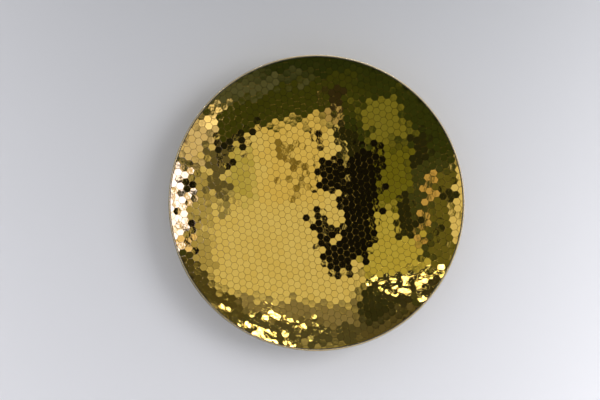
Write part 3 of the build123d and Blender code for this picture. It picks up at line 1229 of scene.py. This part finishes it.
@dataclass
class Bedding:
    """The soft strips on the ribs and the soft disc on the hub, on which the bowl is bedded."""

    bowl: Bowl
    ribs: int = 8
    start: float = 100.0 * MM
    end: float = 525.0 * MM
    width: float = 10.0 * MM
    thickness: float = 3.0 * MM
    clear: float = 0.15 * MM
    hollow: float = 0.45 * MM
    lengthwise: int = 40
    levels: tuple[float, ...] = (0.18, 0.42, 0.40)
    fullness: float = 0.9

    def build(self) -> None:
        """Model one strip and copy it to every rib; then turn the disc."""
        first = self._strip()
        for number in range(1, self.ribs + 1):
            strip = spun(copied(first, f"foam_strip_{number}"), 360.0 / self.ribs * (number - 1))
            finish_piece(strip, Body.DISH, FOAM, f"rib_strip_{number}")
        bpy.data.objects.remove(first)
        self._disc()

    def _strip(self) -> bpy.types.Object:
        """A strip along +X: drawn flat, raised in three steps, bulged and laid along the bowl's back."""
        bpy.ops.mesh.primitive_grid_add(x_subdivisions=self.lengthwise, y_subdivisions=4, size=1.0)
        strip = new_piece("foam_strip")
        with editing(strip, Pick.FACES):
            bpy.ops.mesh.select_all(action="SELECT")
            for level in self.levels:
                bpy.ops.mesh.extrude_region_move(TRANSFORM_OT_translate={"value": (0.0, 0.0, level)})
        tidy_mesh(strip)
        for vertex in strip.data.vertices:
            along, across, up = vertex.co
            pinch = self.hollow * (2 * up - 1) ** 2
            blunt = 1.0 - 0.12 * max(0.0, abs(2 * along) - 0.96) * 25
            radius = self.start + (self.end - self.start) * (along + 0.5)
            behind = self.bowl.sheet + self.clear + (self.thickness - self.clear) * (1 - up)
            sag = 0.10 * MM * math.sin(97.0 * radius) * up
            vertex.co = (
                radius,
                -(float(self.bowl.height(radius)) - behind - sag * sag / MM),
                across * (self.width - 2 * pinch) * blunt,
            )
        smooth(strip, 50.0)
        return strip

    def _disc(self) -> None:
        """The soft disc, with a bulged edge and a crown that is pressed flat in the middle."""
        back, front = heights("hub_pad")
        radius = reach("hub_pad")
        inner = radius - 2.2 * MM
        half = (front - back) / 2
        side = []
        for step in range(9):
            share = -1 + step / 4
            side.append((inner + 2.2 * MM * math.cos(share * math.pi / 2), back + half + half * share * 0.97))
        section = [(0.0, back), (inner * 0.6, back), *side, (inner * 0.6, front), (0.0, front)]
        disc = turned("foam_disc", section, 64)
        smooth(disc, 50.0)
        finish_piece(disc, Body.DISH, FOAM, "hub_pad")


# ---- the hanger --------------------------------------------------------------------------------------


@dataclass
class Screw:
    """A countersunk screw with a hexagon socket."""

    head_radius: float = 5.0 * MM
    shank_radius: float = 2.5 * MM
    socket_width: float = 3.0 * MM
    socket_depth: float = 1.7 * MM
    land: float = 0.35 * MM
    steps: int = 24

    def build(self, name: str, centre: Point2, head: float, point: float) -> bpy.types.Object:
        """Turn one screw.

        Args:
            name: the screw's name.
            centre: its axis's place, in X and Z.
            head: the height of its head's flat top.
            point: the height of its other end.

        Returns:
            The screw.
        """
        way = 1.0 if head > point else -1.0
        mouth = self.socket_width / 2 / math.cos(math.radians(30.0))
        taper = self.head_radius - self.shank_radius
        floor = head - way * self.socket_depth
        section = [
            (0.0, floor - way * 0.4 * MM),
            (mouth, floor),
            (mouth, head - way * 0.05 * MM),
            (mouth + 0.45 * MM, head),
            (self.head_radius - 0.1 * MM, head),
            (self.head_radius, head - way * self.land / 2),
            (self.shank_radius, head - way * (taper + self.land / 2)),
            (self.shank_radius, point + way * 0.6 * MM),
            (self.shank_radius - 0.5 * MM, point),
            (0.0, point),
        ]
        screw = turned(name, section, self.steps, centre)
        six_sided(screw, centre, mouth, self.socket_width, 0.1 * MM)
        smooth(screw, 30.0)
        return screw


@dataclass
class Hanger:
    """The wall plate with its cleat and stops, and the dish's own cleat."""

    plate_edge: float = 0.8 * MM
    cleat_edge: float = 0.45 * MM
    screw: Screw = field(default_factory=Screw)
    nut_width: float = 8.0 * MM

    def build(self) -> None:
        """Ease the plates, and set the screws and nuts."""
        plate = eased_copy("wall_plate", self.plate_edge, 3)
        finish_piece(plate, Body.WALL, PAINT, "wall_plate")
        stops = eased_copy("side_stops", self.plate_edge)
        finish_piece(stops, Body.WALL, FRAME, "side_stops")
        for node, body in (("wall_cleat", Body.WALL), ("dish_cleat", Body.DISH)):
            cleat = eased_copy(node, self.cleat_edge)
            finish_piece(cleat, body, CLEAT, node)
        back, front = heights("wall_cleat_screws")
        self._screws("wall_cleat_screws", Body.WALL, front, back)
        back, front = heights("dish_cleat_screws")
        self._screws("dish_cleat_screws", Body.DISH, back, front)
        self._nuts()

    def _sides(self, node: str, radius: float) -> list[Point2]:
        """The two axes of a packed pair, in X and Z."""
        low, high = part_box(node)
        height = middle(node)[1]
        return [(low.x + radius, height), (high.x - radius, height)]

    def _screws(self, node: str, body: Body, head: float, point: float) -> None:
        """Set a cleat's two screws."""
        places = self._sides(node, self.screw.head_radius)
        screws = [self.screw.build("cleat_screw", place, head, point) for place in places]
        finish_piece(joined(f"{node}_turned", screws), body, ZINC, node)

    def _nuts(self) -> None:
        """Set the chamfered nuts on the ends of the dish cleat's screws."""
        node = "dish_cleat_nuts"
        back, front = heights(node)
        corner = self.nut_width / 2 / math.cos(math.radians(30.0))
        flat = self.nut_width / 2
        bore = self.screw.shank_radius
        low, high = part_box(node)
        nuts = []
        for centre in self._sides(node, (high.z - low.z) / 2):
            section = [
                (bore, back),
                (corner, back),
                (corner, front - 0.7 * MM),
                (flat, front),
                (bore + 0.5 * MM, front),
                (bore, front - 0.5 * MM),
            ]
            nut = turned("cleat_nut", section, 24, centre)
            six_sided(nut, centre, corner, self.nut_width, 0.1 * MM)
            smooth(nut, 30.0)
            nuts.append(nut)
        finish_piece(joined("dish_cleat_nuts_turned", nuts), Body.DISH, ZINC, node)


# ---- the screw feet ----------------------------------------------------------------------------------


@dataclass
class ScrewFoot:
    """One screw foot: a bush in the frame, a threaded spindle with a thumbwheel, a cup and its rubber."""

    side: str
    pad: Body
    spindle: Body
    thread_radius: float = 4.0 * MM
    thread_depth: float = 0.6 * MM
    pitch: float = 1.25 * MM
    neck_radius: float = 3.0 * MM
    neck_top: float = 8.5 * MM
    wheel_radius: float = 15.0 * MM
    wheel_top: float = 12.5 * MM
    flutes: int = 36
    flute_depth: float = 0.5 * MM
    ribs: tuple[float, ...] = (4.0 * MM, 7.5 * MM, 11.0 * MM)
    rib_depth: float = 0.7 * MM
    face_round: float = 0.8 * MM

    def build(self) -> None:
        """Make the four pieces round the foot's own axis."""
        self.centre = middle(f"foot_screw_{self.side}")
        bush = eased_copy(f"foot_bush_{self.side}", 0.4 * MM)
        finish_piece(bush, Body.DISH, BRASS, f"foot_bush_{self.side}")
        finish_piece(self._spindle(), self.spindle, STEEL, f"foot_screw_{self.side}")
        finish_piece(self._cup(), self.pad, STEEL, f"foot_cup_{self.side}")
        finish_piece(self._rubber(), self.pad, RUBBER, f"foot_rubber_{self.side}")

    def _thread(self, start: float, end: float) -> bpy.types.Object:
        """The spindle's thread, swept by a Screw modifier from one profile and closed at both ends."""
        root = self.thread_radius - self.thread_depth
        crest = self.thread_radius
        profile = ((root, 0.0), (crest, 0.40), (crest, 0.52), (root, 0.92), (root, 1.0))
        turns = int((end - start) / self.pitch) - 1
        mesh = bpy.data.meshes.new("thread")
        points = [(radius, -(start + share * self.pitch), 0.0) for radius, share in profile]
        mesh.from_pydata(points, [(i, i + 1) for i in range(len(points) - 1)], [])
        thread = bpy.data.objects.new("thread", mesh)
        bpy.context.scene.collection.objects.link(thread)
        settings = {"steps": 16, "render_steps": 16, "iterations": turns, "use_merge_vertices": True}
        modify(thread, "SCREW", axis="Y", screw_offset=-self.pitch, merge_threshold=1e-6, **settings)
        with editing(thread, Pick.EDGES):
            bpy.ops.mesh.select_all(action="SELECT")
            bpy.ops.mesh.remove_doubles(threshold=1e-6)
            bpy.ops.mesh.select_non_manifold(extend=False)
            bpy.ops.mesh.fill_holes(sides=0)
            bpy.ops.mesh.select_all(action="SELECT")
            # The outermost face is a flank that looks back along the spindle, so its inside is the outside.
            bpy.ops.mesh.normals_make_consistent(inside=True)
        smooth(thread, 35.0)
        thread.data.transform(Matrix.Translation((self.centre[0], 0.0, self.centre[1])))
        return thread

    def _spindle(self) -> bpy.types.Object:
        """The neck, the fluted thumbwheel, the thread and the rounded tip, as one piece."""
        back, front = heights(f"foot_screw_{self.side}")
        rim = 0.6 * MM
        wheel_section = [
            (0.0, back),
            (self.neck_radius - 0.4 * MM, back),
            (self.neck_radius, back + 0.4 * MM),
            (self.neck_radius, self.neck_top),
            (self.wheel_radius - rim, self.neck_top),
            (self.wheel_radius, self.neck_top + rim),
            (self.wheel_radius, self.wheel_top - rim),
            (self.wheel_radius - rim, self.wheel_top),
            (self.thread_radius + 0.8 * MM, self.wheel_top),
            (self.thread_radius, self.wheel_top + 0.4 * MM),
            (0.0, self.wheel_top + 0.4 * MM),
        ]
        wheel = turned("thumbwheel", wheel_section, 2 * self.flutes, self.centre)
        for vertex in wheel.data.vertices:
            x = vertex.co.x - self.centre[0]
            z = vertex.co.z - self.centre[1]
            if math.hypot(x, z) < self.wheel_radius - 1.5 * rim:
                continue
            step = round(math.degrees(math.atan2(z, x)) / (180.0 / self.flutes))
            cut = 1.0 - step % 2 * self.flute_depth / self.wheel_radius
            vertex.co.x = self.centre[0] + x * cut
            vertex.co.z = self.centre[1] + z * cut
        smooth(wheel, 30.0)
        tip_start = front - 3.0 * MM
        root = self.thread_radius - self.thread_depth
        tip_section = [
            (0.0, tip_start),
            (root, tip_start),
            (root, front - 1.0 * MM),
            (root - 1.0 * MM, front),
            (0.0, front),
        ]
        tip = turned("spindle_tip", tip_section, 24, self.centre)
        smooth(tip, 30.0)
        thread = self._thread(self.wheel_top + 0.2 * MM, tip_start + self.pitch)
        return joined(f"spindle_{self.side}", [wheel, thread, tip])

    def _cup(self) -> bpy.types.Object:
        """The turned steel cup behind the rubber, with a groove round it."""
        back, front = heights(f"foot_cup_{self.side}")
        low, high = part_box(f"foot_cup_{self.side}")
        radius = (high.x - low.x) / 2
        half = (back + front) / 2
        bore = self.neck_radius + 0.1 * MM
        section = [
            (0.0, back),
            (radius - 0.3 * MM, back),
            (radius, back + 0.3 * MM),
            (radius, half - 0.5 * MM),
            (radius - 0.5 * MM, half),
            (radius, half + 0.5 * MM),
            *arc((radius - 1.1 * MM, front - 1.1 * MM), 1.1 * MM, 0.0, 90.0),
            (bore + 2.0 * MM, front),
            (bore, front - 0.6 * MM),
            (bore, back + 1.5 * MM),
            (0.0, back + 1.5 * MM),
        ]
        cup = turned(f"cup_{self.side}", section, 48, self.centre)
        smooth(cup, 30.0)
        return cup

    def _rubber(self) -> bpy.types.Object:
        """The rubber face, with round grooves where it meets the wall."""
        back, front = heights(f"foot_rubber_{self.side}")
        low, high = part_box(f"foot_rubber_{self.side}")
        radius = (high.x - low.x) / 2
        corner = (radius - self.face_round, back + self.face_round)
        section = [(0.0, front), (radius, front), *arc(corner, self.face_round, 0.0, -90.0)]
        for rib in reversed(self.ribs):
            for step, depth in ((0.9, 0.0), (0.4, 1.0), (-0.4, 1.0), (-0.9, 0.0)):
                section.append((rib + step * MM, back + depth * self.rib_depth))
        section.append((0.0, back))
        rubber = turned(f"rubber_{self.side}", section, 48, self.centre)
        smooth(rubber, 40.0)
        return rubber


# ---- the stage ---------------------------------------------------------------------------------------


@dataclass(frozen=True)
class Card:
    """One flat area of the studio, as the mirror sees it.

    It is placed by direction: across and up are the tangents of its angles from straight out of the wall.
    """

    across: float
    up: float
    half_width: float
    half_height: float
    colour: Colour
    turn: float = 0.0
    soft: float = 0.015


STUDIO_BASE: Colour = (0.050, 0.065, 0.045)
CEILING: Colour = (0.080, 0.085, 0.105)
BEAM: Colour = (0.030, 0.036, 0.033)
LEAF: Colour = (0.50, 0.50, 0.28)
MOSS: Colour = (0.150, 0.170, 0.042)
FLOORING: Colour = (0.047, 0.062, 0.022)
PALE_WALL: Colour = (0.73, 0.70, 0.73)
WARM_WALL: Colour = (0.73, 0.66, 0.58)
BLACK_FLAG: Colour = (0.007, 0.007, 0.010)
DIM_FLAG: Colour = (0.022, 0.026, 0.020)
TUBE: Colour = (28.0, 28.0, 31.0)
DAYLIGHT: Colour = (2.1, 2.3, 9.0)
FAR_WALL_LOW: Colour = (0.34, 0.34, 0.35)
FAR_WALL_HIGH: Colour = (1.02, 1.02, 1.05)
SOFT_BOX: Colour = (2.6, 2.6, 2.7)
STUDIO = (
    # soft boxes all round, further out than the mirror shows from in front
    Card(1.45, 0.30, 0.50, 0.90, SOFT_BOX, 0.0, 0.10),
    Card(-1.45, 0.00, 0.40, 0.70, (0.45, 0.45, 0.46), 0.0, 0.10),
    Card(-0.20, -1.65, 0.90, 0.30, (0.55, 0.55, 0.50), 0.0, 0.10),
    # the ceiling, its beams and its lit tubes
    Card(0.0, 1.05, 2.40, 0.53, CEILING, 0.0, 0.03),
    Card(0.45, 1.55, 0.80, 0.40, SOFT_BOX, 0.0, 0.10),
    Card(0.0, 0.69, 0.50, 0.035, (0.40, 0.40, 0.50), 0.0, 0.04),
    Card(-0.27, 0.46, 0.11, 0.075, BEAM, 0.0, 0.02),
    Card(-0.42, 0.38, 0.17, 0.055, (0.040, 0.042, 0.052), 8.0, 0.02),
    Card(-0.38, 0.325, 0.17, 0.0008, TUBE, 10.0, 0.0008),
    Card(-0.42, 0.350, 0.15, 0.0008, TUBE, 14.0, 0.0008),
    Card(-0.45, 0.380, 0.12, 0.0008, TUBE, 7.0, 0.0008),
    Card(-0.50, 0.415, 0.07, 0.0008, TUBE, 12.0, 0.0008),
    # the floor, greener to the left and bluer to the right
    Card(-0.45, -0.62, 0.60, 0.40, (0.032, 0.048, 0.022), 0.0, 0.06),
    Card(0.15, -0.62, 0.34, 0.24, FLOORING, 0.0, 0.04),
    Card(0.31, -0.59, 0.24, 0.11, (0.088, 0.110, 0.160), 8.0, 0.08),
    Card(0.0, -0.95, 1.60, 0.36, (0.024, 0.038, 0.022), 0.0, 0.06),
    # the painted wall at the left, the door beside it and what stands along it
    Card(-0.56, 0.08, 0.045, 0.22, (0.130, 0.138, 0.066), 0.0, 0.02),
    Card(-0.575, -0.050, 0.010, 0.050, DIM_FLAG, 10.0, 0.006),
    Card(-0.535, 0.150, 0.010, 0.045, DIM_FLAG, -14.0, 0.006),
    Card(-0.30, 0.13, 0.13, 0.20, LEAF, 12.0, 0.02),
    Card(-0.32, -0.12, 0.08, 0.13, MOSS, 0.0, 0.03),
    Card(-0.29, -0.37, 0.09, 0.11, (0.20, 0.22, 0.09), 20.0, 0.03),
    Card(-0.478, 0.01, 0.017, 0.17, (0.60, 0.46, 0.38), -6.0, 0.010),
    Card(-0.665, 0.07, 0.066, 0.30, (0.80, 0.76, 0.84), 0.0, 0.015),
    # the pale wall opposite, with the grey band above it, and its warmer lower part
    Card(0.22, 0.47, 0.38, 0.045, (0.25, 0.24, 0.32), -8.0, 0.04),
    Card(0.20, 0.21, 0.39, 0.23, PALE_WALL, -5.0, 0.03),
    Card(0.225, -0.08, 0.345, 0.27, PALE_WALL, 0.0, 0.02),
    Card(0.12, -0.20, 0.15, 0.20, WARM_WALL, 0.0, 0.06),
    Card(0.54, 0.12, 0.035, 0.26, (0.45, 0.43, 0.41), 0.0, 0.02),
    Card(0.20, -0.44, 0.36, 0.08, FLOORING, 14.0, 0.015),
    Card(0.36, -0.13, 0.05, 0.12, (0.50, 0.51, 0.36), 0.0, 0.04),
    # the window at the right and its light on the sill
    Card(0.598, 0.04, 0.012, 0.22, BLACK_FLAG, 0.0, 0.006),
    Card(0.690, 0.025, 0.070, 0.200, DAYLIGHT, 0.0, 0.008),
    Card(0.663, 0.020, 0.005, 0.200, (0.75, 0.65, 0.85), 0.0, 0.004),
    Card(0.622, -0.020, 0.006, 0.200, (0.95, 0.85, 1.60), 2.0, 0.004),
    Card(0.640, -0.060, 0.050, 0.006, BEAM, 4.0, 0.004),
    Card(0.645, -0.135, 0.040, 0.010, BLACK_FLAG, 12.0, 0.006),
    Card(0.640, 0.105, 0.050, 0.006, BEAM, -3.0, 0.004),
    Card(0.625, 0.19, 0.030, 0.030, (1.0, 0.85, 1.15), 20.0, 0.010),
    Card(0.575, -0.290, 0.055, 0.10, (0.75, 0.70, 1.10), -25.0, 0.03),
    Card(0.530, 0.400, 0.190, 0.055, (0.080, 0.078, 0.066), -42.0, 0.03),
    Card(-0.33, 0.560, 0.16, 0.045, (0.105, 0.100, 0.115), 25.0, 0.04),
    Card(0.490, -0.415, 0.062, 0.030, (1.35, 1.25, 1.90), 35.0, 0.012),
    # tubes over the pale wall
    Card(0.22, 0.520, 0.15, 0.0010, TUBE, -20.0, 0.001),
    Card(0.35, 0.555, 0.19, 0.0013, TUBE, -34.0, 0.001),
    Card(0.20, 0.605, 0.12, 0.0010, TUBE, -16.0, 0.001),
    Card(0.02, 0.575, 0.06, 0.0006, TUBE, 0.0, 0.0008),
    # dark cards in front of all that; the first six overlap in a standing figure's outline
    Card(-0.115, 0.215, 0.095, 0.080, BLACK_FLAG, 42.0, 0.004),
    Card(-0.175, 0.050, 0.085, 0.130, BLACK_FLAG, 0.0, 0.004),
    Card(-0.205, -0.150, 0.065, 0.110, BLACK_FLAG, 6.0, 0.004),
    Card(-0.050, -0.125, 0.065, 0.075, BLACK_FLAG, 0.0, 0.004),
    Card(-0.010, 0.120, 0.032, 0.090, BLACK_FLAG, 38.0, 0.004),
    Card(-0.110, -0.300, 0.030, 0.080, DIM_FLAG, 20.0, 0.004),
    Card(-0.060, -0.470, 0.055, 0.060, (0.036, 0.032, 0.032), 0.0, 0.02),
    Card(-0.040, -0.420, 0.008, 0.034, (0.46, 0.40, 0.44), 20.0, 0.004),
    Card(-0.085, -0.400, 0.008, 0.034, (0.46, 0.40, 0.44), -15.0, 0.004),
    Card(-0.015, -0.455, 0.007, 0.026, (0.42, 0.36, 0.40), 10.0, 0.004),
    Card(-0.385, 0.060, 0.040, 0.095, DIM_FLAG, 10.0, 0.006),
    Card(-0.450, -0.260, 0.040, 0.080, DIM_FLAG, -8.0, 0.006),
    Card(0.482, -0.142, 0.050, 0.114, (0.125, 0.125, 0.140), 0.0, 0.02),
    Card(0.425, 0.020, 0.020, 0.050, (0.30, 0.30, 0.32), 0.0, 0.010),
    Card(0.375, -0.292, 0.110, 0.026, (0.014, 0.016, 0.017), 24.0, 0.006),
    Card(0.420, -0.190, 0.012, 0.050, BLACK_FLAG, 4.0, 0.005),
    # thin dim cards before the pale wall
    Card(0.100, -0.060, 0.009, 0.060, (0.24, 0.20, 0.10), 12.0, 0.008),
    Card(0.135, -0.150, 0.010, 0.050, (0.20, 0.16, 0.08), -28.0, 0.008),
    Card(0.165, -0.230, 0.012, 0.070, (0.24, 0.20, 0.10), 30.0, 0.008),
    Card(0.010, -0.290, 0.010, 0.050, BLACK_FLAG, 12.0, 0.006),
    Card(0.175, -0.300, 0.008, 0.050, (0.26, 0.22, 0.12), 8.0, 0.006),
    Card(0.138, -0.262, 0.006, 0.055, (0.20, 0.17, 0.09), -12.0, 0.005),
    Card(0.112, -0.180, 0.006, 0.050, (0.22, 0.18, 0.10), 6.0, 0.005),
    Card(0.082, -0.130, 0.006, 0.055, (0.18, 0.15, 0.08), -10.0, 0.005),
    Card(0.120, -0.010, 0.005, 0.040, (0.26, 0.22, 0.12), -6.0, 0.005),
)


@dataclass
class Studio:
    """The stage: a pale wall and floor, soft lamps, and what the mirror sees of the room in front of it."""

    low: Vector
    high: Vector
    camera_distance: float = 3.10
    frame_width: float = 2.225
    aim: Point2 = (-0.0616, 0.0108)
    sensor: float = 36.0
    ambient: Colour = (0.70, 0.705, 0.72)

    def build(self) -> None:
        """Set up the view, the wall, the floor, the lamps and the world."""
        bpy.context.scene.view_settings.view_transform = "Standard"
        self._camera()
        self._wall()
        self._floor()
        self._lamps()
        self._world()

    def _camera(self) -> None:
        """Put the camera in front of the wall, level and square to it."""
        data = bpy.data.cameras.new("view")
        data.sensor_width = self.sensor
        data.lens = self.sensor * self.camera_distance / self.frame_width
        camera = bpy.data.objects.new("view", data)
        camera.location = (self.aim[0], self.low.y - self.camera_distance, self.aim[1])
        camera.rotation_euler = (math.radians(90.0), 0.0, 0.0)
        bpy.context.scene.collection.objects.link(camera)
        bpy.context.scene.camera = camera

    @staticmethod
    def _panel(
        name: str, width: float, height: float, place: Sequence[float], lean: float
    ) -> bpy.types.Object:
        """Add one flat panel of the stage, leant up from the floor by an angle in degrees."""
        bpy.ops.mesh.primitive_grid_add(x_subdivisions=24, y_subdivisions=24, size=1.0)
        panel = bpy.context.view_layer.objects.active
        panel.scale = (width, height, 1.0)
        panel.rotation_euler = (math.radians(lean), 0.0, 0.0)
        panel.location = place
        return new_piece(name)

    def _wall(self) -> None:
        """Hang the object on a pale painted wall, which is drawn only from its front; its colour also carries
        painted light, brighter to the lower right and darker at the top.
        """
        wall = self._panel("stage_wall", 14.0, 7.0, (0.0, 0.0006, 0.4), 90.0)
        made = bpy.data.materials.new("stage_wall_paint_and_light")
        made.use_nodes = True
        graph = Graph(made.node_tree)
        across = graph.node("SeparateXYZ", {"Vector": graph.place()}, "X")
        up = across.output("Z")
        # painted light: the wall's colour grows brighter towards the lower right and darker towards the top,
        # and its brightest colour is above white, in place of the room's light falling on it
        light = across * across * 0.076 + across * 0.008 - up * 0.158 - across * up * 0.023
        share = (light + 0.30).math("MINIMUM", 0.56).clamped()
        tone = graph.mix(share, (0.266, 0.275, 0.287), (1.38, 1.37, 1.43))
        paint = graph.node(
            "BsdfDiffuse", {"Color": tone, "Normal": graph.bump(graph.noise(220.0, 3.0), 0.00005)}
        )
        clear = graph.node("BsdfTransparent")
        behind = graph.node("NewGeometry", output="Backfacing")
        drawn = graph.node("MixShader", {"Fac": behind, 1: paint, 2: clear})
        graph.node("OutputMaterial", {"Surface": drawn}, None)
        wall.data.materials.append(made)
        wall.visible_shadow = False
        wall.visible_diffuse = False
        wall.visible_glossy = False
        wall.visible_transmission = False
        wall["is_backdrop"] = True

    def _floor(self) -> None:
        """Lay a plain pale floor well below the object."""
        floor = self._panel("stage_floor", 14.0, 12.0, (0.0, -3.0, self.low.z - 0.85), 0.0)
        made = bpy.data.materials.new("stage_floor_paint")
        made.use_nodes = True
        graph = Graph(made.node_tree)
        graph.surface(Base_Color=(0.60, 0.60, 0.61), Roughness=graph.noise(3.0).between(0.55, 0.7))
        floor.data.materials.append(made)
        floor.visible_glossy = False
        floor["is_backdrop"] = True

    def _lamp(
        self, name: str, place: Sequence[float], target: Sequence[float], size: float, power: float
    ) -> None:
        """Add one square soft lamp that faces a point and that mirrors don't show."""
        data = bpy.data.lights.new(name, "AREA")
        data.size = size
        data.energy = power
        lamp = bpy.data.objects.new(name, data)
        lamp.location = place
        towards = Vector(target) - Vector(place)
        lamp.rotation_euler = towards.to_track_quat("-Z", "Y").to_euler()
        lamp.visible_glossy = False
        bpy.context.scene.collection.objects.link(lamp)

    def _lamps(self) -> None:
        """Light the wall softly from the right, and the back of the object from behind."""
        self._lamp("key", (3.6, -4.4, 1.0), (0.0, 0.0, 0.0), 2.8, 150.0)
        self._lamp("behind", (-1.8, 3.0, 1.6), (0.0, 0.0, 0.0), 2.4, 90.0)

    def _world(self) -> None:
        """Light everything from a plain pale sky, and show the studio to mirrors alone."""
        world = bpy.data.worlds.new("studio")
        world.use_nodes = True
        bpy.context.scene.world = world
        graph = Graph(world.node_tree)
        ray = graph.node("TexCoord", output="Generated")
        x = graph.node("SeparateXYZ", {"Vector": ray}, "X")
        out = -x.output("Y")
        ahead = out.math("MAXIMUM", 0.05)
        across = x / ahead
        up = x.output("Z") / ahead
        room: object = STUDIO_BASE
        for card in STUDIO:
            room = graph.mix(self._card(graph, card, across, up), room, card.colour)
        in_front = (out * 10.0).clamped()
        height = (x.output("Z") * 0.5 + 0.5).clamped()
        seen = graph.mix(in_front, graph.mix(height, FAR_WALL_LOW, FAR_WALL_HIGH), room)
        glossy = graph.node("LightPath", output="Is Glossy Ray")
        shown = graph.mix(glossy, self.ambient, seen)
        graph.node("OutputWorld", {"Surface": graph.node("Background", {"Color": shown})}, None)

    @staticmethod
    def _card(graph: Graph, card: Card, across: Signal, up: Signal) -> Signal:
        """How much of a card covers each direction, from 0 to 1, with soft edges."""
        cosine = math.cos(math.radians(card.turn))
        sine = math.sin(math.radians(card.turn))
        along = (across - card.across) * cosine + (up - card.up) * sine
        beside = (up - card.up) * cosine - (across - card.across) * sine
        width = ((card.half_width - abs(along)) / card.soft + 0.5).clamped()
        height = ((card.half_height - abs(beside)) / card.soft + 0.5).clamped()
        return width * height


# ---- everything together -----------------------------------------------------------------------------


def main() -> None:
    """Build every sub-assembly round the frame, and set the stage."""
    logging.basicConfig(level=logging.INFO, format="%(name)s: %(message)s")
    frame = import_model()
    packed_low, packed_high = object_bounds()
    skin_back, _ = heights("facet_skin")
    sheet = 2.5 * MM
    bowl = Bowl(
        rim_radius=reach("rim_ring"),
        vertex=skin_back + sheet,
        trim_radius=reach("facet_skin") - 0.4 * MM,
        sheet=sheet,
    )
    bowl.build()
    EdgeTrim().build(bowl)
    SideBand().build()
    Spider().build()
    Bedding(bowl).build()
    Hanger().build()
    ScrewFoot("left", Body.PAD_LEFT, Body.SPINDLE_LEFT).build()
    ScrewFoot("right", Body.PAD_RIGHT, Body.SPINDLE_RIGHT).build()
    Studio(packed_low, packed_high).build()
    LOG.info("%d packed nodes, all dressed", len(frame["nodes"]))


if __name__ == "__main__":
    main()
